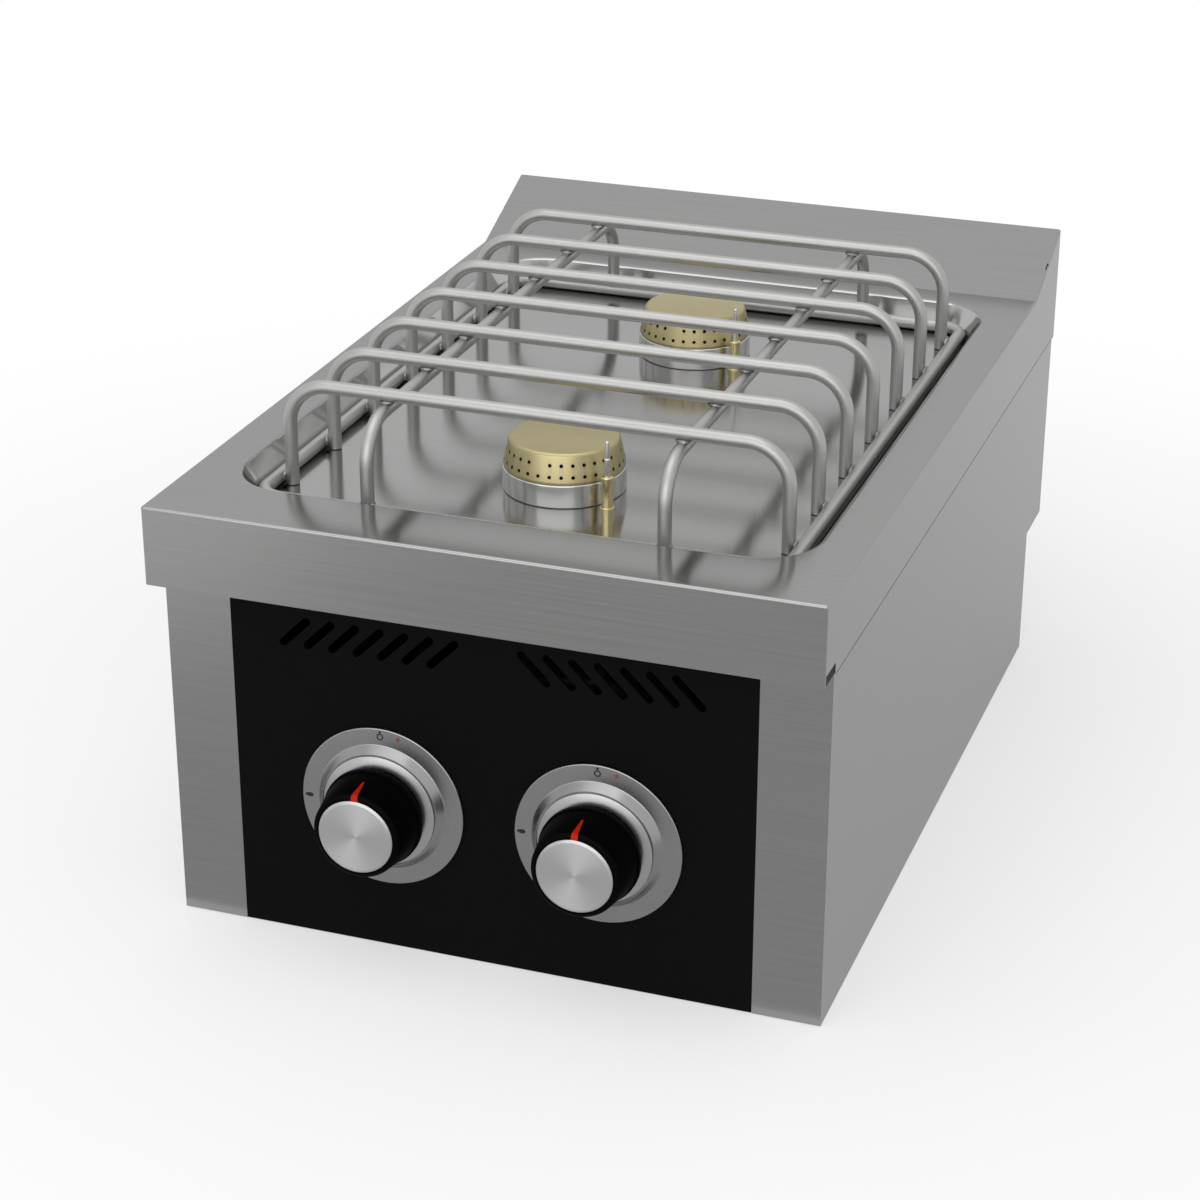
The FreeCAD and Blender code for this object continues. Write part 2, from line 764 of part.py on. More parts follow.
def feed_ends(x, burner_y):
    start = (x, manifold_y, outlet_top - pipe_insertion + contact_gap)
    end = (0, burner_y - injector_y, injector_socket + pipe_insertion - contact_gap)
    return start, end


def front_feed_pipe():
    start, end = feed_ends(tap_places["right"], burner_places["front"])
    return feed_pipe([start, (start[0], start[1], front_feed_height), (end[0], end[1], front_feed_height),
                      end])


def rear_feed_pipe():
    start, end = feed_ends(tap_places["left"], burner_places["rear"])
    return feed_pipe([start, (start[0], start[1], rear_feed_height), (start[0], end[1], rear_feed_height),
                      (end[0], end[1], rear_feed_height), end])


# Burners, made round the Z axis and moved to their place

def burner_body():
    cup_top = floor_under - contact_gap
    cup_low = floor_under - cup_height
    neck_top = floor_top + neck_height
    z = venturi_height
    casting = joined([rod((0, 0, cup_low), (0, 0, cup_top), cup_radius),
                      rod((0, 0, cup_top), (0, 0, neck_top), neck_radius),
                      rod((0, 0, z), (0, -venturi_reach, z), venturi_radius)])
    casting = casting.cut(rod((0, 0, cup_low + cup_floor), (0, 0, neck_top), neck_bore))
    casting = casting.cut(rod((0, 0, z), (0, -venturi_reach, z), venturi_bore))
    arm = (-yoke_plate_y - yoke_plate, -venturi_reach + yoke_gap)
    arms = [block(outwards(side, yoke_half_width - yoke_bar, yoke_half_width), arm,
                  (z - yoke_bar_height / 2, z + yoke_bar_height / 2)) for side in (-1, 1)]
    plate = block((-yoke_half_width, yoke_half_width), (-yoke_plate_y - yoke_plate, -yoke_plate_y),
                  (z - yoke_plate_height / 2, z + yoke_plate_height / 2))
    plate = plate.cut(rod((0, -yoke_plate_y - yoke_plate, z), (0, -yoke_plate_y, z),
                          injector_shank + contact_gap))
    return joined([casting, *arms, plate])


def injector():
    z = venturi_height
    front = -yoke_plate_y - yoke_plate - contact_gap
    tip = -yoke_plate_y + injector_tip_length
    brass = joined([block((-injector_half_width, injector_half_width), (front - injector_block, front),
                          (z - injector_half_height, z + injector_half_height)),
                    rod((0, front, z), (0, -yoke_plate_y, z), injector_shank),
                    rod((0, -yoke_plate_y, z), (0, tip, z), injector_tip_radius)])
    brass = brass.cut(rod((0, -injector_y, injector_socket),
                          (0, -injector_y, injector_socket + pipe_insertion), feed_radius + contact_gap))
    brass = brass.cut(rod((0, -injector_y, injector_socket), (0, -injector_y, z), gas_way_radius))
    return brass.cut(rod((0, -injector_y, z), (0, tip, z), injector_jet))


def burner_ring():
    low = floor_top + contact_gap
    shelf = floor_top + neck_height + contact_gap
    bore = neck_radius + contact_gap
    lip = spigot_radius + slip_gap
    edge = 0.6
    return turned([(bore, low), (ring_radius - edge, low), (ring_radius, low + edge),
                   (ring_radius, ring_top - edge), (ring_radius - edge, ring_top), (lip, ring_top),
                   (lip, shelf), (bore, shelf)])


def flame_ports():
    lean = math.atan2(cap_radius - cap_top_radius, cap_height - cap_edge - cap_rounding)
    ports = []
    for row, height in enumerate((port_low, port_high)):
        z = ring_top + contact_gap + height
        for k in range(port_count):
            if row == 1 and k % port_skip == port_skip - 1:
                continue
            port = Part.makeCylinder(port_radius, 3 * cap_wall, V(cap_top_radius - 2 * cap_wall, 0, 0),
                                     V(1, 0, 0))
            port.rotate(V(cap_top_radius, 0, 0), V(0, 1, 0), -math.degrees(lean))
            port.translate(V(0, 0, z))
            port.rotate(V(0, 0, 0), V(0, 0, 1), 360 * (k + 0.5) / port_count)
            ports.append(port)
    return Part.makeCompound(ports)


def burner_cap():
    low = ring_top + contact_gap
    high = low + cap_height
    ceiling = high - cap_wall
    floor = low + cap_rim_floor
    cap = turned([(spigot_radius, low - spigot_length), (spigot_radius, low), (cap_radius, low),
                  (cap_radius, low + cap_edge), (cap_top_radius, high - cap_rounding),
                  (cap_top_radius - cap_rounding, high), (0, high), (0, ceiling),
                  (cap_top_radius - cap_wall, ceiling), (cap_radius - cap_wall, floor),
                  (spigot_radius - spigot_wall, floor), (spigot_radius - spigot_wall, low - spigot_length)])
    return cap.cut(flame_ports())


def thermocouple():
    low = floor_top + contact_gap
    bevel = 0.6
    tail = floor_under - probe_tail
    return turned([(0, tail), (probe_radius, tail), (probe_radius, low), (probe_collar_radius, low),
                   (probe_collar_radius, low + probe_collar), (probe_radius, low + probe_collar),
                   (probe_radius, low + probe_height - bevel), (probe_radius - bevel, low + probe_height),
                   (probe_tip_radius, low + probe_height), (probe_tip_radius, low + probe_tip_height),
                   (probe_point_radius, low + probe_tip_height + bevel),
                   (probe_point_radius, low + probe_point_height - bevel),
                   (probe_point_radius - bevel, low + probe_point_height), (0, low + probe_point_height)])


def thermocouple_nuts():
    nuts = []
    top = floor_under - contact_gap
    for y in burner_places.values():
        start = (probe_x, y + probe_y, top - probe_nut_height)
        end = (probe_x, y + probe_y, top)
        nuts.append(hexagon(start, end, probe_nut_radius).cut(rod(start, end, probe_radius + contact_gap)))
    return Part.makeCompound(nuts)


def thermocouple_lead(burner, drop, swing, tap):
    tap_x = tap_places[tap]
    start = (probe_x, burner_places[burner] + probe_y, floor_under - probe_tail - contact_gap)
    end = (tap_x, magnet_back + contact_gap, tap_height)
    nut_end = (tap_x, magnet_back + contact_gap + lead_nut_length, tap_height)
    corners = [start, (start[0], start[1], drop), (tap_x, burner_places[burner] + swing, tap_height), end]
    wire = bent_rod(corners, lead_bend, lead_radius)
    return joined([wire, hexagon(end, nut_end, lead_nut_radius)])


# Grate

def grate_hoop(number):
    y = well_middle + (number - (hoop_count + 1) / 2) * hoop_pitch
    foot = floor_top + seat_gap
    return bent_rod([(-hoop_half_span, y, foot), (-hoop_half_span, y, hoop_height),
                     (hoop_half_span, y, hoop_height), (hoop_half_span, y, foot)],
                    hoop_bend, rod_diameter / 2)


def grate_runner(side):
    x = side * runner_half_span
    foot = floor_top + seat_gap + rod_diameter + contact_gap
    top = hoop_height - rod_diameter - contact_gap
    front = well_middle - runner_half_length
    back = well_middle + runner_half_length
    return bent_rod([(x, front, foot), (x, front, top), (x, back, top), (x, back, foot)],
                    hoop_bend, rod_diameter / 2)


def grate_ring():
    x = hoop_half_span + rod_diameter + contact_gap
    z = floor_top + seat_gap + rod_diameter / 2
    halves = []
    for y in (well_middle - runner_half_length, well_middle + runner_half_length):
        halves.append(bent_rod([(-x, well_middle, z), (-x, y, z), (x, y, z), (x, well_middle, z)],
                               ring_bend, rod_diameter / 2))
    return joined(halves)


nodes = {
    "deck_top": deck_top(),
    "left_side_panel": side_panel(-1),
    "right_side_panel": side_panel(1),
    "control_panel": control_panel(),
    "bottom_panel": bottom_panel(),
    "rear_panel": rear_panel(),
    "rear_step_panel": rear_step_panel(),
    "rear_panel_screws": rear_panel_screws(),
    "valve_rail": valve_rail(),
    "valve_screws": valve_screws(),
    "gas_manifold": gas_manifold(),
    "manifold_union": manifold_union(),
    "supply_pipe": supply_pipe(),
    "gas_inlet": gas_inlet(),
    "inlet_locknut": inlet_locknut(),
    "front_feed_pipe": front_feed_pipe(),
    "rear_feed_pipe": rear_feed_pipe(),
    "thermocouple_nuts": thermocouple_nuts(),
    "front_thermocouple_lead": thermocouple_lead("front", front_lead_drop, front_lead_swing, "right"),
    "rear_thermocouple_lead": thermocouple_lead("rear", rear_lead_drop, rear_lead_swing, "left"),
    "left_grate_runner": grate_runner(-1),
    "right_grate_runner": grate_runner(1),
    "grate_ring": grate_ring(),
}

for place, x in tap_places.items():
    nodes[place + "_valve_body"] = valve_body(x)
    nodes[place + "_valve_bonnet"] = valve_bonnet(x)
    nodes[place + "_valve_plug"] = valve_plug(x)
    nodes[place + "_spindle_spring"] = spindle_spring(x)
    nodes[place + "_spindle"] = spindle(x)
    nodes[place + "_knob"] = on_panel(knob_body(), x)
    nodes[place + "_knob_cap"] = on_panel(knob_cap(), x)
    nodes[place + "_knob_pointer"] = on_panel(pointer_inlay(), x)
    nodes[place + "_bezel"] = on_panel(bezel(), x)

for place, y in burner_places.items():
    for name, shape, x, shift in (("burner_body", burner_body(), 0, 0), ("injector", injector(), 0, 0),
                                  ("burner_ring", burner_ring(), 0, 0), ("burner_cap", burner_cap(), 0, 0),
                                  ("thermocouple", thermocouple(), probe_x, probe_y)):
        shape.translate(V(x, y + shift, 0))
        nodes[place + "_" + name] = shape

for number in range(1, hoop_count + 1):
    nodes["grate_hoop_%d" % number] = grate_hoop(number)

os.makedirs("parts", exist_ok=True)
for name, shape in nodes.items():
    shape.exportStep("parts/" + name + ".step")
    print("%-26s solids %d valid %s volume %.0f" % (name, len(shape.Solids), shape.isValid(), shape.Volume))
print(len(nodes), "nodes")
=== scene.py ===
import math
import bmesh
import bpy
from mathutils import Matrix, Vector, noise


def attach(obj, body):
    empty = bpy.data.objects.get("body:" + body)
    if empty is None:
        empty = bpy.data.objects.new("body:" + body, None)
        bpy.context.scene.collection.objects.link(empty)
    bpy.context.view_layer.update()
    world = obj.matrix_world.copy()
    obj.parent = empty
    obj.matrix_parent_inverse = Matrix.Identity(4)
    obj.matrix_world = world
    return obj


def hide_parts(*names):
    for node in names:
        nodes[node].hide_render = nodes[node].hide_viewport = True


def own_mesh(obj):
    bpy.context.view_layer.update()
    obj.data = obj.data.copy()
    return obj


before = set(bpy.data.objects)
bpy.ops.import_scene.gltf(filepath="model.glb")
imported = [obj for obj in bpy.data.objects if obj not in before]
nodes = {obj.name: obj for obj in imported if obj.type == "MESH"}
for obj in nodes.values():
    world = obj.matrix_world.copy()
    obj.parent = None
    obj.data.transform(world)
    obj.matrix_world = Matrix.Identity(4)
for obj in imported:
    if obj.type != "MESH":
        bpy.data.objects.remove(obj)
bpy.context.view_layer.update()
mm = 0.001
sharpAngle = 38.0
mergeGap = 0.0005
slack = 0.01

print("stage: frame loaded with", len(nodes), "nodes")

# camera at the photograph's angle
view = {"place": (546.119, -1635.028, 898.074), "azimuth": 19.475, "elevation": 24.445, "roll": 0.117,
        "focalPixels": 2908.595, "imagePixels": 1200, "sensor": 36.0, "clip": (0.05, 60)}


def makeCamera():
    az, el, roll = (math.radians(view[k]) for k in ("azimuth", "elevation", "roll"))
    back = Vector((math.sin(az) * math.cos(el), -math.cos(az) * math.cos(el), math.sin(el)))
    right = Vector((0, 0, 1)).cross(back).normalized()
    up = back.cross(right)
    turnedRight = right * math.cos(roll) + up * math.sin(roll)
    turnedUp = up * math.cos(roll) - right * math.sin(roll)
    data = bpy.data.cameras.new("photoCamera")
    data.sensor_width = view["sensor"]
    data.lens = view["focalPixels"] * view["sensor"] / view["imagePixels"]
    data.clip_start, data.clip_end = view["clip"]
    camera = bpy.data.objects.new("photoCamera", data)
    bpy.context.scene.collection.objects.link(camera)
    place = Matrix((turnedRight, turnedUp, back)).transposed().to_4x4()
    place.translation = Vector(view["place"]) * mm
    camera.matrix_world = place
    bpy.context.scene.camera = camera


makeCamera()
print("stage: camera set")

# small helpers for node trees


def addNode(tree, kind, **values):
    node = tree.nodes.new(kind)
    for key, value in values.items():
        if hasattr(node, key):
            setattr(node, key, value)
        else:
            node.inputs[key].default_value = value
    return node


def newMaterial(name):
    material = bpy.data.materials.new(name)
    material.use_nodes = True
    tree = material.node_tree
    return material, tree, tree.nodes["Principled BSDF"]


def setSockets(shader, **values):
    names = {"color": "Base Color", "metallic": "Metallic", "roughness": "Roughness", "anisotropic": "Anisotropic",
             "specular": "Specular IOR Level", "edge": "Specular Tint"}
    for key, value in values.items():
        shader.inputs[names[key]].default_value = value


def rgb(red, green, blue):
    return (red, green, blue, 1.0)


def mapValue(tree, source, low, high, fromLow=0.0, fromHigh=1.0, ramp="LINEAR"):
    limits = {"From Min": fromLow, "From Max": fromHigh, "To Min": low, "To Max": high}
    node = addNode(tree, "ShaderNodeMapRange", interpolation_type=ramp, **limits)
    tree.links.new(source, node.inputs["Value"])
    return node.outputs["Result"]


def mixColors(tree, factor, first, second):
    node = addNode(tree, "ShaderNodeMix", data_type="RGBA")
    node.inputs[6].default_value = rgb(*first)
    node.inputs[7].default_value = rgb(*second)
    tree.links.new(factor, node.inputs[0])
    return node.outputs[2]


def objectNoise(tree, scale, detail=3.0, stretch=(1, 1, 1)):
    coords = addNode(tree, "ShaderNodeTexCoord")
    mapping = addNode(tree, "ShaderNodeMapping", Scale=stretch)
    pattern = addNode(tree, "ShaderNodeTexNoise", Scale=scale, Detail=detail)
    tree.links.new(coords.outputs["Object"], mapping.inputs["Vector"])
    tree.links.new(mapping.outputs["Vector"], pattern.inputs["Vector"])
    return pattern.outputs["Fac"]


def vectorMath(tree, operation, source, value=None):
    node = addNode(tree, "ShaderNodeVectorMath", operation=operation)
    tree.links.new(source, node.inputs[0])
    if value:
        node.inputs[1].default_value = value
    return node.outputs["Value" if operation == "LENGTH" else "Vector"]


def addBump(tree, shader, height, strength, distance):
    bump = addNode(tree, "ShaderNodeBump", Strength=strength, Distance=distance)
    tree.links.new(height, bump.inputs["Height"])
    tree.links.new(bump.outputs["Normal"], shader.inputs["Normal"])


# brushed sheet: streaks run along X on level faces, and level round the sloped and upright ones;
# the pressed well is smoother, and its floor and its walls take lighter colours of their own, painted light
# against the shade under the grate
brushedSteel = {"dark": (0.292, 0.292, 0.29), "light": (0.334, 0.334, 0.331), "flat": (0.11, 0.15),
                "upright": (0.22, 0.28), "anisotropic": 0.7, "fine": 650.0, "along": 7.0, "bump": 0.02,
                "bumpDepth": 0.0002, "level": 0.9, "edge": (0.75, 0.75, 0.75),
                "wellFloorPaintedLight": ((0.36, 0.36, 0.357), (0.395, 0.395, 0.391)),
                "wellWallPaintedLight": ((0.41, 0.41, 0.406), (0.44, 0.44, 0.436)),
                "wellMiddle": (0.0, -0.021, 0.25), "wellHalf": (0.185, 0.24, 0.0192)}


def sizeTest(tree, source, limit, operation="GREATER_THAN"):
    size = addNode(tree, "ShaderNodeMath", operation="ABSOLUTE")
    test = addNode(tree, "ShaderNodeMath", operation=operation)
    test.inputs[1].default_value = limit
    tree.links.new(source, size.inputs[0])
    tree.links.new(size.outputs[0], test.inputs[0])
    return test.outputs[0]


def joinValues(tree, operation, first, second):
    node = addNode(tree, "ShaderNodeMath", operation=operation)
    tree.links.new(first, node.inputs[0])
    tree.links.new(second, node.inputs[1])
    return node.outputs[0]


def mixLinks(tree, factor, first, second, kind="FLOAT"):
    at, out = {"FLOAT": (2, 0), "RGBA": (6, 2)}[kind]  # the mix node has sockets of its own for each kind
    node = addNode(tree, "ShaderNodeMix", data_type=kind)
    tree.links.new(factor, node.inputs[0])
    tree.links.new(first, node.inputs[at])
    tree.links.new(second, node.inputs[at + 1])
    return node.outputs[out]


def wellTest(tree, look):
    # 1 inside the pressed well of the deck
    coords = addNode(tree, "ShaderNodeTexCoord")
    split = addNode(tree, "ShaderNodeSeparateXYZ")
    shift = vectorMath(tree, "SUBTRACT", coords.outputs["Object"], look["wellMiddle"])
    tree.links.new(shift, split.inputs["Vector"])
    across, deep, high = [sizeTest(tree, split.outputs[axis], limit, "LESS_THAN")
                          for axis, limit in zip("XYZ", look["wellHalf"])]
    return joinValues(tree, "MULTIPLY", joinValues(tree, "MULTIPLY", across, deep), high)


def brushedMaterial(name, look):
    material, tree, shader = newMaterial(name)
    geometry = addNode(tree, "ShaderNodeNewGeometry")
    split = addNode(tree, "ShaderNodeSeparateXYZ")
    tree.links.new(geometry.outputs["True Normal"], split.inputs["Vector"])
    level = sizeTest(tree, split.outputs["Z"], look["level"])
    inWell = wellTest(tree, look)
    fields = [objectNoise(tree, 1.0, detail=2.0, stretch=stretch) for stretch in (
        (look["along"], look["along"], look["fine"]), (look["along"], look["fine"], look["along"]))]
    streak = mixLinks(tree, level, *fields)
    # light spreads across the streaks: square to X on level faces, up and down on the others
    across = vectorMath(tree, "CROSS_PRODUCT", geometry.outputs["Normal"], (1, 0, 0))
    tangent = addNode(tree, "ShaderNodeMix", data_type="VECTOR")
    tangent.inputs[4].default_value = (0, 0, 1)
    tree.links.new(level, tangent.inputs[0])
    tree.links.new(across, tangent.inputs[5])
    tree.links.new(tangent.outputs[1], shader.inputs["Tangent"])
    # painted light: the well's floor and walls take lighter colours than the rest of the same sheet
    wall = mixColors(tree, streak, *look["wellWallPaintedLight"])
    well = mixLinks(tree, level, wall, mixColors(tree, streak, *look["wellFloorPaintedLight"]), "RGBA")
    sheet = mixColors(tree, streak, look["dark"], look["light"])
    tree.links.new(mixLinks(tree, inWell, sheet, well, "RGBA"), shader.inputs["Base Color"])
    smooth = joinValues(tree, "MAXIMUM", level, inWell)
    roughness = mixLinks(tree, smooth, mapValue(tree, streak, *look["upright"]),
                         mapValue(tree, streak, *look["flat"]))
    tree.links.new(roughness, shader.inputs["Roughness"])
    addBump(tree, shader, streak, look["bump"], look["bumpDepth"])
    setSockets(shader, metallic=1.0, anisotropic=look["anisotropic"], edge=rgb(*look["edge"]))
    return material


# other finishes, a row each: dark colour, light colour, roughness pair, grain size and bump,
# then metallic and specular where it is not plain metal
grainDepth = 0.0003
cloudShare = 0.08
finishes = {
    "blackPanel": ((0.0036, 0.0036, 0.0037), (0.0048, 0.0048, 0.005), (0.52, 0.62), 1400.0, 0.04, 0.0, 0.03),
    "galvanised": ((0.36, 0.365, 0.37), (0.44, 0.445, 0.45), (0.34, 0.48), 60.0, 0.02),
    "zincPlate": ((0.46, 0.47, 0.49), (0.56, 0.57, 0.58), (0.24, 0.36), 240.0, 0.03),
    "machinedBrass": ((0.50, 0.37, 0.15), (0.60, 0.45, 0.19), (0.22, 0.34), 300.0, 0.03),
    # painted shade: the aluminium feed pipes inside the body are coloured near black, standing in for the shade
    # inside the body
    "aluminiumPaintedShade": ((0.035, 0.035, 0.036), (0.06, 0.06, 0.061), (0.58, 0.7), 200.0, 0.03),
    "leadCopper": ((0.30, 0.13, 0.065), (0.40, 0.19, 0.10), (0.35, 0.46), 260.0, 0.02),
    "castIron": ((0.045, 0.045, 0.045), (0.085, 0.083, 0.08), (0.55, 0.72), 420.0, 0.35, 0.6),
    "turnedSteel": ((0.46, 0.46, 0.47), (0.56, 0.56, 0.57), (0.2, 0.3), 380.0, 0.03),
    "grateRod": ((0.37, 0.37, 0.363), (0.43, 0.43, 0.422), (0.39, 0.47), 130.0, 0.22),
    "weldBead": ((0.17, 0.165, 0.16), (0.33, 0.325, 0.315), (0.26, 0.45), 700.0, 0.3),
    "knobBlack": ((0.0008, 0.0008, 0.0008), (0.0014, 0.0014, 0.0014), (0.36, 0.46), 900.0, 0.015, 0.0, 0.03),
    "pointerRed": ((0.40, 0.014, 0.003), (0.46, 0.018, 0.004), (0.4, 0.5), 900.0, 0.02, 0.0, 0.06),
    "capBrass": ((0.415, 0.36, 0.198), (0.465, 0.406, 0.228), (0.36, 0.44), 1200.0, 0.03),
    "probeBrass": ((0.60, 0.51, 0.265), (0.68, 0.585, 0.315), (0.18, 0.26), 500.0, 0.03),
    "probeTip": ((0.62, 0.62, 0.64), (0.74, 0.74, 0.76), (0.2, 0.3), 600.0, 0.03),
    "bezelSatin": ((0.30, 0.30, 0.30), (0.335, 0.335, 0.335), (0.24, 0.32), 1100.0, 0.015),
    "bezelCone": ((0.30, 0.30, 0.304), (0.33, 0.33, 0.334), (0.23, 0.29), 900.0, 0.005),
    # painted light: the crown is the same chrome as the cone, coloured lighter to offset the darker floor it
    # reflects
    "bezelCrownPaintedLight": ((0.42, 0.42, 0.424), (0.46, 0.46, 0.464), (0.26, 0.33), 900.0, 0.005),
    "markDark": ((0.01, 0.01, 0.01), (0.02, 0.02, 0.02), (0.4, 0.5), 900.0, 0.02, 0.0, 0.3),
    # painted reflection: red for the star that stands in for the red pointer's reflection in the bezel
    "paintedRedReflection": ((0.17, 0.05, 0.04), (0.22, 0.07, 0.05), (0.4, 0.5), 900.0, 0.02, 0.0, 0.3),
    # painted shade: black for the strip and pads that stand in for the shade in the skirt seam and relief notches
    "seamShadeBlack": ((0.006, 0.006, 0.006), (0.011, 0.011, 0.011), (0.6, 0.75), 800.0, 0.12, 0.0, 0.2),
}


def grainMaterial(name, dark, light, roughness, grain, bump, metallic=1.0, specular=0.5):
    material, tree, shader = newMaterial(name)
    fine = objectNoise(tree, grain)
    cloud = objectNoise(tree, grain * cloudShare, detail=2.0)
    tree.links.new(mixColors(tree, cloud, dark, light), shader.inputs["Base Color"])
    tree.links.new(mapValue(tree, fine, *roughness), shader.inputs["Roughness"])
    addBump(tree, shader, fine, bump, grainDepth)
    setSockets(shader, metallic=metallic, specular=specular)
    return material


# spun faces: fine circles round an axis along Y, which fan the light out
spunDisc = {"dark": (0.51, 0.51, 0.515), "light": (0.61, 0.61, 0.615), "roughness": (0.44, 0.52),
            "rings": 5200.0, "anisotropic": 0.65}


def spunMaterial(name, axisX, axisZ):
    material, tree, shader = newMaterial(name)
    coords = addNode(tree, "ShaderNodeTexCoord")
    shift = vectorMath(tree, "SUBTRACT", coords.outputs["Object"], (axisX, 0, axisZ))
    flat = vectorMath(tree, "MULTIPLY", shift, (1, 0, 1))
    rings = addNode(tree, "ShaderNodeTexNoise", noise_dimensions="1D", Scale=spunDisc["rings"], Detail=2.0)
    tree.links.new(vectorMath(tree, "LENGTH", flat), rings.inputs["W"])
    tree.links.new(mixColors(tree, rings.outputs["Fac"], spunDisc["dark"], spunDisc["light"]),
                   shader.inputs["Base Color"])
    tree.links.new(mapValue(tree, rings.outputs["Fac"], *spunDisc["roughness"]), shader.inputs["Roughness"])
    tree.links.new(vectorMath(tree, "NORMALIZE", flat), shader.inputs["Tangent"])
    setSockets(shader, metallic=1.0, anisotropic=spunDisc["anisotropic"])
    return material


# turned ring: fine lines round an upright axis
turnedRing = {"dark": (0.54, 0.535, 0.52), "light": (0.66, 0.655, 0.64), "roughness": (0.21, 0.28),
              "lines": 6000.0, "round": 20.0, "anisotropic": 0.7}


def turnedMaterial(name, look):
    material, tree, shader = newMaterial(name)
    lines = objectNoise(tree, 1.0, detail=2.0, stretch=(look["round"], look["round"], look["lines"]))
    tree.links.new(mixColors(tree, lines, look["dark"], look["light"]), shader.inputs["Base Color"])
    tree.links.new(mapValue(tree, lines, *look["roughness"]), shader.inputs["Roughness"])
    axis = addNode(tree, "ShaderNodeCombineXYZ", Z=1.0)
    tree.links.new(axis.outputs["Vector"], shader.inputs["Tangent"])
    setSockets(shader, metallic=1.0, anisotropic=look["anisotropic"])
    return material


finish = {name: grainMaterial(name, *look) for name, look in finishes.items()}
finish["brushedSteel"] = brushedMaterial("brushedSteel", brushedSteel)
finish["ringAluminium"] = turnedMaterial("ringAluminium", turnedRing)
tapAxis = {"left": (-66.0, 93.5), "right": (66.0, 93.5)}
for side, (axisX, axisZ) in tapAxis.items():
    finish[side + "Disc"] = spunMaterial(side + "Disc", axisX * mm, axisZ * mm)
print("stage: finishes made,", len(finish))

# CAD nodes keep their shape and take a finish by name


def leftRight(name):
    return ["left_" + name, "right_" + name]


def frontRear(name):
    return ["front_" + name, "rear_" + name]


nodeFinish = {
    "brushedSteel": ["deck_top"] + leftRight("side_panel"),
    "blackPanel": ["control_panel"],
    "galvanised": ["bottom_panel", "rear_panel", "rear_step_panel", "valve_rail"],
    "zincPlate": ["rear_panel_screws", "valve_screws", "gas_manifold", "supply_pipe"],
    "machinedBrass": ["manifold_union", "gas_inlet", "inlet_locknut", "thermocouple_nuts"] + frontRear("injector")
                     + leftRight("valve_body") + leftRight("valve_bonnet") + leftRight("valve_plug"),
    "aluminiumPaintedShade": frontRear("feed_pipe"),
    "leadCopper": frontRear("thermocouple_lead"),
    "castIron": frontRear("burner_body"),
    "turnedSteel": leftRight("spindle") + leftRight("spindle_spring"),
    "grateRod": ["grate_hoop_%d" % k for k in range(1, 8)] + leftRight("grate_runner") + ["grate_ring"],
    "knobBlack": leftRight("knob"),
    "leftDisc": ["left_knob_cap"],
    "rightDisc": ["right_knob_cap"],
    "pointerRed": leftRight("knob_pointer"),
    "bezelCone": leftRight("bezel"),
    "ringAluminium": frontRear("burner_ring"),
    "capBrass": frontRear("burner_cap"),
    "probeBrass": frontRear("thermocouple"),
}
for name, members in nodeFinish.items():
    for member in members:
        for slot in nodes[member].material_slots:
            slot.material = finish[name]
print("stage: node finishes set")

# mesh helpers, in millimetres


def addObject(name, builder):
    mesh = bpy.data.meshes.new(name)
    builder.to_mesh(mesh)
    builder.free()
    added = bpy.data.objects.new(name, mesh)
    bpy.context.scene.collection.objects.link(added)
    return added


def makePiece(name, builder, body, materials, replaced=(), sharp=sharpAngle):
    bmesh.ops.recalc_face_normals(builder, faces=builder.faces)
    for face in builder.faces:
        face.smooth = True
    bmesh.ops.scale(builder, vec=(mm, mm, mm), verts=builder.verts)
    piece = addObject(name, builder)
    piece.data.set_sharp_from_angle(angle=math.radians(sharp))
    for material in materials:
        piece.data.materials.append(finish[material])
    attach(piece, body)
    if replaced:
        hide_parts(*replaced)
    return piece


def unitCircle(count):
    return [(math.cos(2 * math.pi * k / count), math.sin(2 * math.pi * k / count)) for k in range(count)]


def joinLoops(builder, first, second):
    # band of faces between two closed loops of as many points
    count = len(first)
    return [builder.faces.new((first[k], first[(k + 1) % count], second[(k + 1) % count], second[k]))
            for k in range(count)]


def upright(x, y):
    return lambda a, b, h: Vector((x + a, y + b, h))


def onPanel(x, z, front):
    return lambda a, b, h: Vector((x + a, front - h, z + b))


def roundCorners(points, radii, steps=5):
    # replaces a corner by an arc that meets both its sides
    path = []
    for k, point in enumerate(points):
        radius = radii.get(k, 0)
        if not radius:
            path.append(Vector(point))
            continue
        corner = Vector(point)
        before = (Vector(points[k - 1]) - corner).normalized()
        after = (Vector(points[(k + 1) % len(points)]) - corner).normalized()
        half = before.angle(after) / 2
        reach = radius / math.tan(half)
        centre = corner + (before + after).normalized() * radius / math.sin(half)
        first = corner + before * reach - centre
        last = corner + after * reach - centre
        for step in range(steps + 1):
            share = step / steps
            path.append(centre + first.slerp(last, share).normalized() * radius)
    return path


def turnedPiece(name, profile, place, sides, body, materials, replaced, materialAt=None):
    # profile points are radius and height; materialAt gives a face's material from its two points
    builder = bmesh.new()
    rings = []
    for radius, height in profile:
        spots = unitCircle(sides if radius > 1e-6 else 1)
        rings.append([builder.verts.new(place(radius * a, radius * b, height)) for a, b in spots])
    for at, (lower, upper) in enumerate(zip(rings, rings[1:])):
        if len(lower) == len(upper) == 1:
            continue
        index = materialAt(profile[at], profile[at + 1]) if materialAt else 0
        for k in range(sides):
            follow = (k + 1) % sides
            corners = [lower[k % len(lower)], lower[follow % len(lower)], upper[follow % len(upper)],
                       upper[k % len(upper)]]
            builder.faces.new(list(dict.fromkeys(corners))).material_index = index
    bmesh.ops.remove_doubles(builder, verts=builder.verts, dist=mergeGap)
    return makePiece(name, builder, body, materials, replaced)


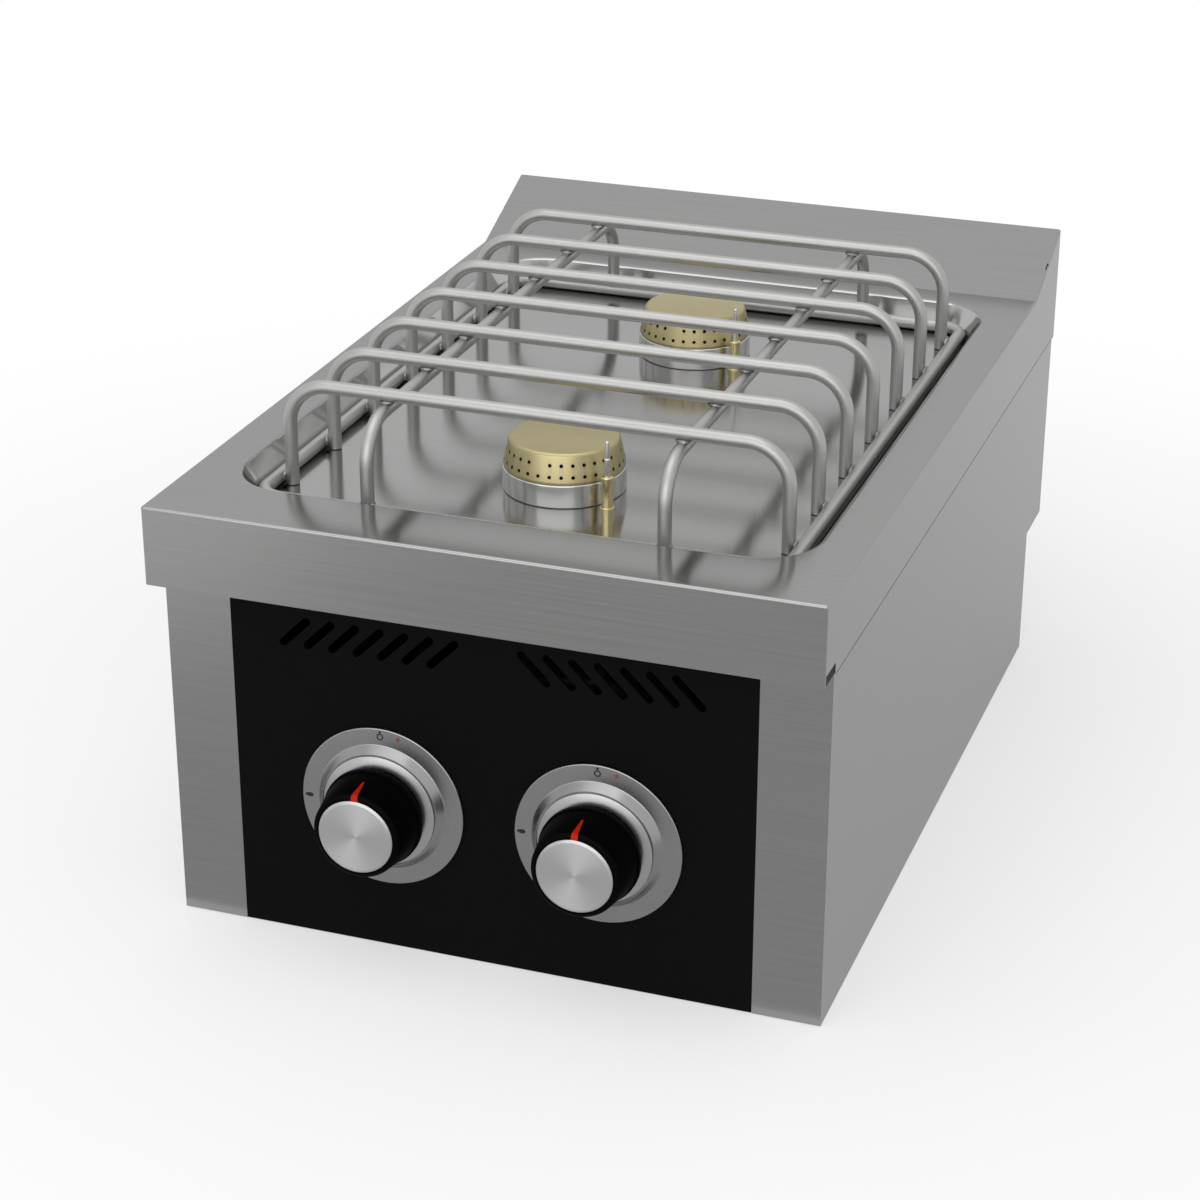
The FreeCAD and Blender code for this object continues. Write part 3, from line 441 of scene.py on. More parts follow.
def bentPath(corners, bend, steps=12):
    path = [Vector(corners[0])]
    for before, corner, after in zip(corners, corners[1:], corners[2:]):
        arc = roundCorners([before, corner, after], {1: bend}, steps)
        path.extend(arc[1:-1])
    path.append(Vector(corners[-1]))
    return path


def addRod(builder, path, plane, radius, closed=False, sides=28, bevel=0.5):
    # round rod along a flat path; plane is the direction square to that path's plane
    plane = Vector(plane)
    stations = [(point, radius) for point in path]
    if not closed:
        lead = (path[1] - path[0]).normalized()
        tail = (path[-1] - path[-2]).normalized()
        stations[0] = (path[0], radius - bevel)
        stations.insert(1, (path[0] + lead * bevel, radius))
        stations[-1] = (path[-1] - tail * bevel, radius)
        stations.append((path[-1], radius - bevel))
    rings = []
    count = len(stations)
    for k, (point, size) in enumerate(stations):
        before = stations[k - 1 if closed else max(k - 1, 0)][0]
        after = stations[(k + 1) % count if closed else min(k + 1, count - 1)][0]
        across = plane.cross((after - before).normalized()).normalized()
        rings.append([builder.verts.new(point + plane * size * a + across * size * b)
                      for a, b in unitCircle(sides)])
    for first, second in list(zip(rings, rings[1:])) + ([(rings[-1], rings[0])] if closed else []):
        joinLoops(builder, first, second)
    if not closed:
        builder.faces.new(rings[0])
        builder.faces.new(rings[-1])


# wire grate: seven hoops, two runners and a base ring
grate = {"radius": 4.0, "bend": 25.0, "ringBend": 15.0, "hoopX": 151.0, "hoopTop": 317.0, "foot": 254.1,
         "firstHoop": -204.0, "pitch": 60.0, "hoops": 7, "runnerX": 89.0, "runnerTop": 308.95,
         "runnerFoot": 262.15, "front": -236.0, "back": 188.0, "ringX": 159.05, "ringZ": 258.1}


def makeRod(name, path, plane, replaced, closed=False):
    builder = bmesh.new()
    addRod(builder, path, plane, grate["radius"], closed)
    makePiece(name, builder, "grate", ["grateRod"], [replaced])


def makeGrate():
    x, low, top = grate["hoopX"], grate["foot"], grate["hoopTop"]
    for k in range(grate["hoops"]):
        y = grate["firstHoop"] + k * grate["pitch"]
        path = bentPath([(-x, y, low), (-x, y, top), (x, y, top), (x, y, low)], grate["bend"])
        makeRod("grateHoop%d" % (k + 1), path, (0, 1, 0), "grate_hoop_%d" % (k + 1))
    front, back, low, top = (grate[key] for key in ("front", "back", "runnerFoot", "runnerTop"))
    for side, x in (("left", -grate["runnerX"]), ("right", grate["runnerX"])):
        path = bentPath([(x, front, low), (x, front, top), (x, back, top), (x, back, low)], grate["bend"])
        makeRod(side + "GrateRunner", path, (1, 0, 0), side + "_grate_runner")
    x, z, middle = grate["ringX"], grate["ringZ"], (front + back) / 2
    loop = [(-x, middle, z), (-x, front, z), (x, front, z), (x, back, z), (-x, back, z), (-x, middle, z)]
    makeRod("grateRing", bentPath(loop, grate["ringBend"])[:-1], (0, 0, 1), "grate_ring", closed=True)


# weld beads where the rods cross, each a lumpy flattened drop
welds = {"crossing": (4.9, 4.9, 1.9), "foot": (2.0, 4.6, 3.4), "runnerFoot": (4.6, 4.4, 2.0), "lump": 0.22,
         "lumpScale": 0.55, "offAxis": 4.02, "rise": 0.6, "segments": (14, 9)}


def addBead(builder, place, size):
    spot = Matrix.Translation(place) @ Matrix.Diagonal((*size, 1.0))
    across, high = welds["segments"]
    made = bmesh.ops.create_uvsphere(builder, u_segments=across, v_segments=high, radius=1.0, matrix=spot)
    for vert in made["verts"]:
        wave = noise.noise(vert.co * welds["lumpScale"])
        vert.co += (vert.co - Vector(place)) * wave * welds["lump"]


def makeWelds():
    builder = bmesh.new()
    for k in range(grate["hoops"]):
        y = grate["firstHoop"] + k * grate["pitch"]
        for sign in (-1, 1):
            crossing = (sign * grate["runnerX"], y, grate["hoopTop"] - welds["offAxis"])
            foot = (sign * (grate["hoopX"] + welds["offAxis"]), y, grate["ringZ"] + welds["rise"])
            addBead(builder, crossing, welds["crossing"])
            addBead(builder, foot, welds["foot"])
    for sign in (-1, 1):
        for y in (grate["front"], grate["back"]):
            addBead(builder, (sign * grate["runnerX"], y, grate["runnerFoot"]), welds["runnerFoot"])
    makePiece("grateWelds", builder, "grate", ["weldBead"])


makeGrate()
makeWelds()
print("stage: grate made")

# burner rings and caps, and the probes beside them
burners = {"front": -153.0, "rear": 95.0}
ring = {"low": 254.05, "top": 268.05, "outer": 36.4, "bore": 24.05, "lip": 29.0, "shelf": 263.05, "round": 0.8,
        "lipRound": 0.3, "sides": 128}
cap = {"low": 268.1, "edge": 1.5, "outer": 36.0, "topRadius": 32.4, "high": 286.1, "round": 2.6, "wall": 3.0,
       "rimFloor": 2.0, "spigot": 28.7, "spigotWall": 1.7, "spigotLength": 4.0, "ports": 32, "portRadius": 1.1,
       "rows": (4.2, 11.2), "skip": 8, "edgeRound": 0.5, "footRound": 0.4, "sides": 128, "drillAt": 33.5,
       "drillLength": 10.0, "drillSides": 20}
probe = {"x": 35.58, "y": -26.62, "tail": 246.0, "low": 254.05, "radius": 3.6, "collar": 4.3, "collarHeight": 2.0,
         "sleeve": 20.5, "tip": 1.65, "tipHeight": 31.0, "point": 1.1, "pointHeight": 42.0,
         "taper": 0.6, "rounds": {4: 0.4, 6: 0.7, 8: 0.3, 10: 0.7}, "roundSteps": 4, "sides": 40}


def makeRing(end, y):
    outline = [(ring["bore"], ring["low"]), (ring["outer"], ring["low"]), (ring["outer"], ring["top"]),
               (ring["lip"], ring["top"]), (ring["lip"], ring["shelf"]), (ring["bore"], ring["shelf"])]
    profile = roundCorners(outline, {1: ring["round"], 2: ring["round"], 3: ring["lipRound"]})
    profile.append(profile[0])
    turnedPiece(end + "BurnerRing", profile, upright(0, y), ring["sides"], "shell",
                ["ringAluminium"], [end + "_burner_ring"])


def capOutline():
    low, high, outer, spigot = cap["low"], cap["high"], cap["outer"], cap["spigot"]
    inner = spigot - cap["spigotWall"]
    spigotEnd = low - cap["spigotLength"]
    floor = low + cap["rimFloor"]
    ceiling = high - cap["wall"]
    outline = [(0, high), (cap["topRadius"], high), (outer, low + cap["edge"]), (outer, low), (spigot, low),
               (spigot, spigotEnd), (inner, spigotEnd), (inner, floor), (outer - cap["wall"], floor),
               (cap["topRadius"] - cap["wall"], ceiling), (0, ceiling)]
    return roundCorners(outline, {1: cap["round"], 2: cap["edgeRound"], 3: cap["footRound"]})


def portCutter(y):
    builder = bmesh.new()
    lean = math.atan2(cap["outer"] - cap["topRadius"], cap["high"] - cap["low"] - cap["edge"])
    for row, height in enumerate(cap["rows"]):
        for k in range(cap["ports"]):
            if row == 1 and k % cap["skip"] == cap["skip"] - 1:
                continue
            turn = 2 * math.pi * (k + 0.5) / cap["ports"]
            place = (Matrix.Translation((0, y, cap["low"] + height)) @ Matrix.Rotation(turn, 4, "Z")
                     @ Matrix.Translation((cap["drillAt"], 0, 0)) @ Matrix.Rotation(math.pi / 2 - lean, 4, "Y"))
            bmesh.ops.create_cone(builder, cap_ends=True, segments=cap["drillSides"], radius1=cap["portRadius"],
                                  radius2=cap["portRadius"], depth=cap["drillLength"], matrix=place)
    bmesh.ops.scale(builder, vec=(mm, mm, mm), verts=builder.verts)
    return addObject("ports", builder)


def makeCap(end, y):
    piece = turnedPiece(end + "BurnerCap", capOutline(), upright(0, y), cap["sides"], end + "_cap",
                        ["capBrass"], [end + "_burner_cap"])
    cutter = portCutter(y)
    drill = piece.modifiers.new("ports", "BOOLEAN")
    drill.object = cutter
    drill.operation = "DIFFERENCE"
    drill.solver = "EXACT"
    drilled = bpy.data.meshes.new_from_object(piece.evaluated_get(bpy.context.evaluated_depsgraph_get()))
    piece.modifiers.remove(drill)
    piece.data = drilled
    drilled.name = end + "BurnerCap"
    drilled.polygons.foreach_set("use_smooth", [True] * len(drilled.polygons))
    drilled.set_sharp_from_angle(angle=math.radians(sharpAngle))
    bpy.data.objects.remove(cutter)


def makeProbe(end, y):
    radius, collar, tip, point, low, tail = (probe[key] for key in (
        "radius", "collar", "tip", "point", "low", "tail"))
    collarEnd, sleeveEnd, tipEnd, pointEnd = (low + probe[key] for key in (
        "collarHeight", "sleeve", "tipHeight", "pointHeight"))
    outline = [(0, tail), (radius, tail), (radius, low), (collar, low), (collar, collarEnd), (radius, collarEnd),
               (radius, sleeveEnd), (tip, sleeveEnd), (tip, tipEnd), (point, tipEnd + probe["taper"]),
               (point, pointEnd), (0, pointEnd)]
    profile = roundCorners(outline, probe["rounds"], probe["roundSteps"])

    def part(first, second):
        onTip = max(first[0], second[0]) <= tip + slack
        return 1 if onTip and min(first[1], second[1]) >= sleeveEnd - slack else 0

    turnedPiece(end + "Probe", profile, upright(probe["x"], y + probe["y"]), probe["sides"], "shell",
                ["probeBrass", "probeTip"], [end + "_thermocouple"], part)


for end, y in burners.items():
    makeRing(end, y)
    makeCap(end, y)
    makeProbe(end, y)
print("stage: burners made")

# taps: bezel, knob, cap disc and pointer; heights run forward from the panel's front
tap = {"front": -278.4, "bore": 27.1, "boreEdge": (0.6, 0.5), "rim": 50.3, "rimHeight": 2.6, "foot": 39.7,
       "crown": 35.8, "crownHeight": 9.2, "lip": 0.3, "groove": 1.1, "grooveDepth": 1.0, "dish": 1.8, "seat": 0.05,
       "bezelRounds": {2: 0.8, 3: 1.1, 4: 0.3, 8: 0.25, 9: 0.4}, "bezelSides": 144}
knob = {"neck": 25.0, "neckEnd": 5.0, "skirt": 30.4, "skirtLow": 14.0, "skirtEdge": 17.6, "skirtStep": 0.9,
        "shoulder": 26.2, "shoulderHeight": 39.7, "top": 24.2, "topHeight": 40.6, "wall": 2.5, "roof": 6.0,
        "spindle": 4.05, "grip": 30.0, "hub": 8.0, "hubStart": 1.0, "seat": 0.05, "sides": 128,
        "flankRounds": {1: 1.0, 2: 0.6}, "neckRounds": {5: 0.4, 6: 0.4, 7: 0.5, 8: 0.3}}
disc = {"radius": 22.6, "low": 39.45, "high": 41.65, "edge": (1.5, 0.75), "rounds": {2: 0.3, 3: 0.8}, "sides": 128}
pointer = {"wide": 4.4, "narrow": 1.0, "end": 26.6, "proud": 0.1, "sink": 0.5, "steps": 10, "across": 4}


def makeBezel(side, x, z):
    top = tap["crownHeight"]
    lip = tap["crown"] - tap["lip"]
    inner = lip - tap["groove"]
    edge = top - tap["dish"]
    groove = edge - tap["grooveDepth"]
    width, drop = tap["boreEdge"]
    outline = [(tap["bore"], tap["seat"]), (tap["rim"], tap["seat"]), (tap["rim"], tap["rimHeight"]),
               (tap["foot"], tap["rimHeight"]), (tap["crown"], edge), (lip, edge), (lip, groove), (inner, groove),
               (inner, edge), (tap["bore"] + width, top), (tap["bore"], top - drop)]
    profile = roundCorners(outline, tap["bezelRounds"])
    profile.append(profile[0])

    def part(first, second):
        # satin on the level rim, crown inside the groove, cone elsewhere; the crown is the cone's chrome painted
        # lighter, as painted light
        if max(abs(point[1] - tap["rimHeight"]) for point in (first, second)) < 2 * slack:
            return 0
        return 2 if max(first[0], second[0]) < inner + slack and min(first[1], second[1]) > edge - 5 * slack else 1

    turnedPiece(side + "Bezel", profile, onPanel(x, z, tap["front"]), tap["bezelSides"], "shell",
                ["bezelSatin", "bezelCone", "bezelCrownPaintedLight"], [side + "_bezel"], part)


def knobFlank(low):
    # line from a height on the flank over the shoulder to the pocket of the disc
    foot, edge = knob["skirt"] - knob["skirtStep"], knob["skirtEdge"]
    share = (low - edge) / (knob["shoulderHeight"] - edge)
    outline = [(foot + (knob["shoulder"] - foot) * share, low), (knob["shoulder"], knob["shoulderHeight"]),
               (knob["top"], knob["topHeight"]), (disc["radius"] + knob["seat"], knob["topHeight"])]
    return roundCorners(outline, knob["flankRounds"])


def makeKnob(side, x, z):
    base, neck, wall, hub, spindle = (knob[key] for key in ("neckEnd", "neck", "wall", "hub", "spindle"))
    hubLow = base + knob["hubStart"]
    roof = knob["topHeight"] - knob["roof"]
    pocket = disc["low"] - knob["seat"]
    gripEnd = base + knob["grip"]
    inside = [(spindle, hubLow), (hub, hubLow), (hub, roof), (knob["top"] - wall, roof), (neck - wall, base),
              (neck, base), (neck, knob["skirtLow"]), (knob["skirt"], knob["skirtLow"]),
              (knob["skirt"], knob["skirtEdge"])]
    end = [(disc["radius"] + knob["seat"], pocket), (0, pocket), (0, gripEnd), (spindle, gripEnd)]
    profile = roundCorners(inside + knobFlank(knob["skirtEdge"]) + end, knob["neckRounds"])
    profile.append(profile[0])
    turnedPiece(side + "Knob", profile, onPanel(x, z, tap["front"]), knob["sides"], side + "_knob",
                ["knobBlack"], [side + "_knob"])


def makeDisc(side, x, z):
    radius, low, high = disc["radius"], disc["low"], disc["high"]
    inset, drop = disc["edge"]
    outline = [(0, low), (radius, low), (radius, high - drop), (radius - inset, high), (0, high)]
    turnedPiece(side + "KnobDisc", roundCorners(outline, disc["rounds"]), onPanel(x, z, tap["front"]),
                disc["sides"], side + "_knob", [side + "Disc"], [side + "_knob_cap"])


def pointerLine(reach):
    # the knob's line from the disc down the flank, moved outwards, with the share of the way along it
    line = [Vector(point) for point in knobFlank(pointer["end"])[::-1]]
    foot = line.pop()
    line += [line[-1].lerp(foot, step / pointer["steps"]) for step in range(1, pointer["steps"] + 1)]
    moved = []
    for k, point in enumerate(line):
        run = line[min(k + 1, len(line) - 1)] - line[max(k - 1, 0)]
        moved.append(point + Vector((-run.y, run.x)).normalized() * reach)
    lengths = [0.0]
    for first, second in zip(line, line[1:]):
        lengths.append(lengths[-1] + (second - first).length)
    return [(point, length / lengths[-1]) for point, length in zip(moved, lengths)]


def makePointer(side, x, z):
    # tapered inlay at twelve o'clock: an outer and an inner grid, joined round their border
    place = onPanel(x, z, tap["front"])
    builder = bmesh.new()
    borders = []
    for reach in (pointer["proud"], -pointer["sink"]):
        grid = []
        for (radius, height), share in pointerLine(reach):
            half = (pointer["wide"] + (pointer["narrow"] - pointer["wide"]) * share) / 2
            offsets = [half * (2 * k / pointer["across"] - 1) for k in range(pointer["across"] + 1)]
            grid.append([builder.verts.new(place(a, math.sqrt(radius ** 2 - a ** 2), height)) for a in offsets])
        for first, second in zip(grid, grid[1:]):
            for k in range(pointer["across"]):
                builder.faces.new((first[k], first[k + 1], second[k + 1], second[k]))
        borders.append(grid[0] + [row[-1] for row in grid[1:]] + grid[-1][-2::-1]
                       + [row[0] for row in grid[-2:0:-1]])
    joinLoops(builder, *borders)
    makePiece(side + "Pointer", builder, side + "_knob", ["pointerRed"], [side + "_knob_pointer"])


# return spring on the spindle
spring = {"coil": 6.1, "wire": 0.85, "front": -259.7, "back": -244.1, "turns": 6, "steps": 28, "sides": 12,
          "push": 4.0}


def makeSpring(side, x, z):
    builder = bmesh.new()
    wire = spring["wire"]
    length = spring["back"] - spring["front"]
    count = spring["turns"] * spring["steps"]
    rings = []
    for k in range(count + 1):
        turn = 2 * math.pi * k / spring["steps"]
        outward = Vector((math.cos(turn), 0, math.sin(turn)))
        y = spring["front"] + wire + (length - 2 * wire) * k / count
        middle = Vector((x, y, z)) + outward * spring["coil"]
        rings.append([builder.verts.new(middle + outward * wire * a + Vector((0, wire * b, 0)))
                      for a, b in unitCircle(spring["sides"])])
    for first, second in zip(rings, rings[1:]):
        joinLoops(builder, first, second)
    builder.faces.new(rings[0])
    builder.faces.new(rings[-1])
    piece = makePiece(side + "Spring", builder, side + "_plug", ["turnedSteel"],
                      [side + "_spindle_spring"])
    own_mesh(piece)


# printed marks on the bezel: off at the top and flame at nine o'clock, with a painted reflection right of the top:
# a red star standing in for the red pointer's reflection
marks = {"height": 2.6, "thick": 0.06,
         "off": {"radius": 45.2, "clock": 0.0, "finish": 0, "size": 2.1, "hole": 1.35, "points": 20},
         "dot": {"radius": 48.2, "clock": 0.0, "finish": 0, "size": 0.8, "points": 12},
         "paintedReflection": {"radius": 46.6, "clock": 14.0, "finish": 1, "size": 2.2, "waist": 0.4},
         "flame": {"radius": 45.8, "clock": -90.0, "finish": 0, "size": 2.8, "points": 24,
                   "width": 0.62, "length": 0.95, "rise": 0.1}}


def circleShape(radius, count):
    return [(radius * a, radius * b) for a, b in unitCircle(count)]


def flameShape(mark):
    # a drop that narrows towards its tip
    shape = []
    for down, across in unitCircle(mark["points"]):
        pinch = 0.75 + 0.25 * down
        shape.append((mark["size"] * mark["width"] * across * pinch,
                      mark["size"] * (mark["rise"] - mark["length"] * down)))
    return shape


def reflectionShape(mark):
    # four points, with a waist between each two
    reaches = [mark["size"], mark["size"] * mark["waist"]] * 4
    return [(reach * a, reach * b) for reach, (b, a) in zip(reaches, unitCircle(8))]


def addMark(builder, x, z, mark, outer, inner=None):
    place = onPanel(x, z, tap["front"])
    turn = math.radians(mark["clock"])

    def spot(a, b, h):
        side = a * math.cos(turn) + (b + mark["radius"]) * math.sin(turn)
        rise = (b + mark["radius"]) * math.cos(turn) - a * math.sin(turn)
        return place(side, rise, h)

    low, high = marks["height"], marks["height"] + marks["thick"]
    top = [builder.verts.new(spot(a, b, high)) for a, b in outer]
    foot = [builder.verts.new(spot(a, b, low)) for a, b in outer]
    faces = joinLoops(builder, foot, top)
    if inner:
        faces += joinLoops(builder, top, [builder.verts.new(spot(a, b, high)) for a, b in inner])
    else:
        faces.append(builder.faces.new(top))
    for face in faces:
        face.material_index = mark["finish"]


def makeMarks(side, x, z):
    builder = bmesh.new()
    off, dot, paintedReflection, flame = (marks[name] for name in ("off", "dot", "paintedReflection", "flame"))
    addMark(builder, x, z, off, *(circleShape(off[key], off["points"]) for key in ("size", "hole")))
    addMark(builder, x, z, dot, circleShape(dot["size"], dot["points"]))
    addMark(builder, x, z, paintedReflection, reflectionShape(paintedReflection))
    addMark(builder, x, z, flame, flameShape(flame))
    makePiece(side + "BezelMarks", builder, "shell", ["markDark", "paintedRedReflection"])


for side, (x, z) in tapAxis.items():
    makeBezel(side, x, z)
    makeKnob(side, x, z)
    makeDisc(side, x, z)
    makePointer(side, x, z)
    makeSpring(side, x, z)
    makeMarks(side, x, z)
print("stage: taps made")

# painted shade: a black strip under the side skirts of the deck stands in for the shade in the seam, and a black
# pad behind each corner relief stands in for the shade in the notch
seamShade = {"x": (198.8, 199.92), "y": (-277.8, 298.4), "z": (220.75, 221.95), "padX": (198.2, 199.6),
        "padY": (-298.6, -280.8), "padZ": (222.3, 228.8), "steps": 48, "sag": 0.12, "sagScale": 0.05,
        "sagSeed": (3.1, 0.7), "bottomEdge": (0.25, 0.1), "sideEdge": 0.5, "padRound": 0.25}


def makeSeamShade():
    for side, sign in (("left", -1), ("right", 1)):
        builder = bmesh.new()
        low, high = seamShade["z"]
        inner, outer = seamShade["x"]
        front, back = seamShade["y"]
        inset, rise = seamShade["bottomEdge"]
        seed, offset = seamShade["sagSeed"]
        rows = []
        for k in range(seamShade["steps"] + 1):
            y = front + (back - front) * k / seamShade["steps"]
            sag = seamShade["sag"] * noise.noise(Vector((sign * seed, y * seamShade["sagScale"], offset)))
            rows.append([builder.verts.new((sign * x, y, z)) for x, z in (
                (inner, low + sag), (outer - inset, low + rise + sag), (outer, low + seamShade["sideEdge"]),
                (outer, high), (inner, high))])
        for first, second in zip(rows, rows[1:]):
            joinLoops(builder, first, second)
        builder.faces.new(rows[0])
        builder.faces.new(rows[-1])
        lowCorner, highCorner = ((sign * x, y, z) for x, y, z in zip(seamShade["padX"], seamShade["padY"], seamShade["padZ"]))
        pad = bmesh.ops.create_cube(builder, size=1.0)["verts"]
        for vert in pad:
            vert.co = Vector([lowCorner[k] if vert.co[k] < 0 else highCorner[k] for k in range(3)])
        edges = list({edge for vert in pad for edge in vert.link_edges})
        bmesh.ops.bevel(builder, geom=edges, offset=seamShade["padRound"], segments=2, affect="EDGES")
        makePiece(side + "SkirtShadeStrip", builder, "shell", ["seamShadeBlack"])


makeSeamShade()
print("stage: seals made")

# threaded gas inlet, its locknut and the screws of the rear panel; heights run along Y
inlet = {"x": 150.0, "z": 45.0, "bore": 6.0, "pitch": 1.814, "depth": 1.0, "radius": 10.4, "threadFrom": 259.85,
         "end": 275.0, "relief": 10.0, "reliefGap": 0.05, "flange": 14.0, "flangeFrom": 248.0, "flangeTo": 253.4,
         "socket": 11.0, "socketEnd": 236.0, "socketBore": 7.6, "turns": 72, "stepsPerTurn": 10, "crest": 1.6,
         "slope": 4.4, "fade": 0.6, "threadStop": 0.5, "mouthEdge": 0.3, "boreEdge": 0.7}
locknut = {"corner": 15.0, "hole": 10.25, "low": 254.8, "high": 259.8, "chamfer": 12.7, "slope": 0.5, "turns": 72,
           "holeEdge": 0.6, "sharp": 24.0}
rearScrew = {"x": 191.3, "z": (105.0, 155.0, 205.0), "seat": 298.82, "end": 299.98, "head": 3.45, "shank": 1.58,
             "tip": 292.1, "slot": 2.3, "slotWidth": 0.7, "slotDepth": 0.8, "slotTaper": 0.8, "sides": 40,
             "dome": ((0.5, 0.0), (0.12, 0.22), (0.0, 0.6))}


def hexReach(corner, turn):
    # distance to the flat side of a hexagon whose corner lies at turn 0
    lean = (turn % (math.pi / 3)) - math.pi / 6
    return corner * math.cos(math.pi / 6) / math.cos(lean)


def addTurnedRings(builder, x, z, rings):
    # each ring is a list of radius and Y round an axis along Y; neighbours are joined into a closed skin
    loops = []
    for line in rings:
        loops.append([builder.verts.new((x + radius * a, y, z + radius * b))
                      for (a, b), (radius, y) in zip(unitCircle(len(line)), line)])
    for first, second in zip(loops, loops[1:] + loops[:1]):
        joinLoops(builder, first, second)


def threadRing(y):
    # flat crest and root with sloped sides, fading out at the mouth
    line = []
    run = min(1.0, max(0.0, (inlet["end"] - inlet["fade"] - y) / inlet["pitch"]))
    for k in range(inlet["turns"]):
        phase = ((y - inlet["threadFrom"]) / inlet["pitch"] - k / inlet["turns"]) % 1.0
        ridge = min(1.0, max(0.0, inlet["crest"] - abs(phase - 0.5) * inlet["slope"]))
        line.append((inlet["radius"] - inlet["depth"] * (1 - ridge * run), y))
    return line


def makeInlet():
    count = inlet["turns"]
    turns = [2 * math.pi * k / count for k in range(count)]
    bore, edge, end, start = inlet["bore"], inlet["boreEdge"], inlet["end"], inlet["threadFrom"]
    low, high = inlet["flangeFrom"], inlet["flangeTo"]
    rings = [[(radius, y)] * count for radius, y in (
        (bore, end - edge), (bore, low), (inlet["socketBore"], low), (inlet["socketBore"], inlet["socketEnd"]),
        (inlet["socket"], inlet["socketEnd"]), (inlet["socket"], low))]
    rings += [[(hexReach(inlet["flange"], turn), y) for turn in turns] for y in (low, high)]
    rings += [[(inlet["relief"], y)] * count for y in (high, start - inlet["reliefGap"])]
    steps = int((end - inlet["threadStop"] - start) / inlet["pitch"] * inlet["stepsPerTurn"])
    rings += [threadRing(start + step * inlet["pitch"] / inlet["stepsPerTurn"]) for step in range(steps + 1)]
    mouth = inlet["radius"] - inlet["depth"] - inlet["mouthEdge"]
    rings += [[(mouth, end)] * count, [(bore + edge, end)] * count]
    builder = bmesh.new()
    addTurnedRings(builder, inlet["x"], inlet["z"], rings)
    makePiece("gasInlet", builder, "shell", ["machinedBrass"], ["gas_inlet"])


def makeLocknut():
    count = locknut["turns"]
    turns = [2 * math.pi * k / count for k in range(count)]
    reach = [hexReach(locknut["corner"], turn) for turn in turns]
    cut = [max(0.0, radius - locknut["chamfer"]) * locknut["slope"] for radius in reach]
    face = [min(radius, locknut["chamfer"]) for radius in reach]
    low, high, hole, edge = (locknut[key] for key in ("low", "high", "hole", "holeEdge"))
    rings = [[(hole, low + edge)] * count, [(hole + edge, low)] * count, [(radius, low) for radius in face],
             [(radius, low + drop) for radius, drop in zip(reach, cut)],
             [(radius, high - drop) for radius, drop in zip(reach, cut)], [(radius, high) for radius in face],
             [(hole + edge, high)] * count, [(hole, high - edge)] * count]
    builder = bmesh.new()
    addTurnedRings(builder, inlet["x"], inlet["z"], rings)
    bmesh.ops.remove_doubles(builder, verts=builder.verts, dist=mergeGap)
    makePiece("inletLocknut", builder, "shell", ["machinedBrass"], ["inlet_locknut"],
              locknut["sharp"])


def addScrew(builder, x, z):
    # round head with a cross recess, on a plain shank
    seat, end, head = rearScrew["seat"], rearScrew["end"], rearScrew["head"]
    half, reach, floor = rearScrew["slotWidth"] / 2, rearScrew["slot"], end - rearScrew["slotDepth"]
    outline = []
    for quarter in range(4):
        turn = math.pi / 2 * quarter
        for a, b in ((reach, -half), (reach, half), (half, half)):
            outline.append((a * math.cos(turn) - b * math.sin(turn), a * math.sin(turn) + b * math.cos(turn)))
    mouth = [builder.verts.new((x + a, end, z + b)) for a, b in outline]
    taper = rearScrew["slotTaper"]
    depth = [builder.verts.new((x + a * taper, floor, z + b * taper)) for a, b in outline]
    profile = [(head - inset, end - drop) for inset, drop in rearScrew["dome"]]
    profile += [(head, seat), (rearScrew["shank"], seat), (rearScrew["shank"], rearScrew["tip"])]
    rings = [[builder.verts.new((x + radius * a, y, z + radius * b)) for a, b in unitCircle(rearScrew["sides"])]
             for radius, y in profile]
    for first, second in [(depth, mouth)] + list(zip(rings, rings[1:])):
        joinLoops(builder, first, second)
    builder.faces.new(depth)
    builder.faces.new(rings[-1])
    edges = [builder.edges.get((loop[k - 1], loop[k])) for loop in (mouth, rings[0]) for k in range(len(loop))]
    bmesh.ops.triangle_fill(builder, use_beauty=True, edges=edges)


def makeRearScrews():
    builder = bmesh.new()
    for sign in (-1, 1):
        for z in rearScrew["z"]:
            addScrew(builder, sign * rearScrew["x"], z)
    makePiece("rearScrews", builder, "shell", ["zincPlate"], ["rear_panel_screws"])


makeInlet()
makeLocknut()
makeRearScrews()
print("stage: inlet and rear screws made")

# floor, lamps and world
stageLook = {"floorColor": rgb(0.93, 0.93, 0.93), "floorSize": 14.0, "floorWhite": 0.5, "whiteFrom": 0.38,
             "whiteTo": 1.0, "floorDrop": 0.0006, "floorRough": 0.9, "floorShine": 0.1,
             "worldLevel": 0.66, "aim": (0, 0, 0.2), "matTone": 0.55, "matHeight": 0.001,
             "matOutline": ((-0.62, -0.285), (-0.55, -0.5), (-0.36, -0.72), (-0.33, -1.6), (0.85, -1.6),
                            (0.85, -0.285)),
             "topPlace": (-0.15, -0.45, 2.5), "topSize": (2.4, 2.0), "topPower": 17.0,
             "frontPlace": (0.1, -3.0, 1.35), "frontSize": (3.8, 2.2), "frontPower": 33.0}


def stageSheet(name, builder):
    sheet = addObject(name, builder)
    return sheet


def whiteRays(tree):
    # 1 for the rays that see the background, 0 for the rays that light the object
    path = addNode(tree, "ShaderNodeLightPath")
    seen = joinValues(tree, "MAXIMUM", path.outputs["Is Camera Ray"], path.outputs["Is Glossy Ray"])
    return joinValues(tree, "MAXIMUM", seen, path.outputs["Is Transmission Ray"])


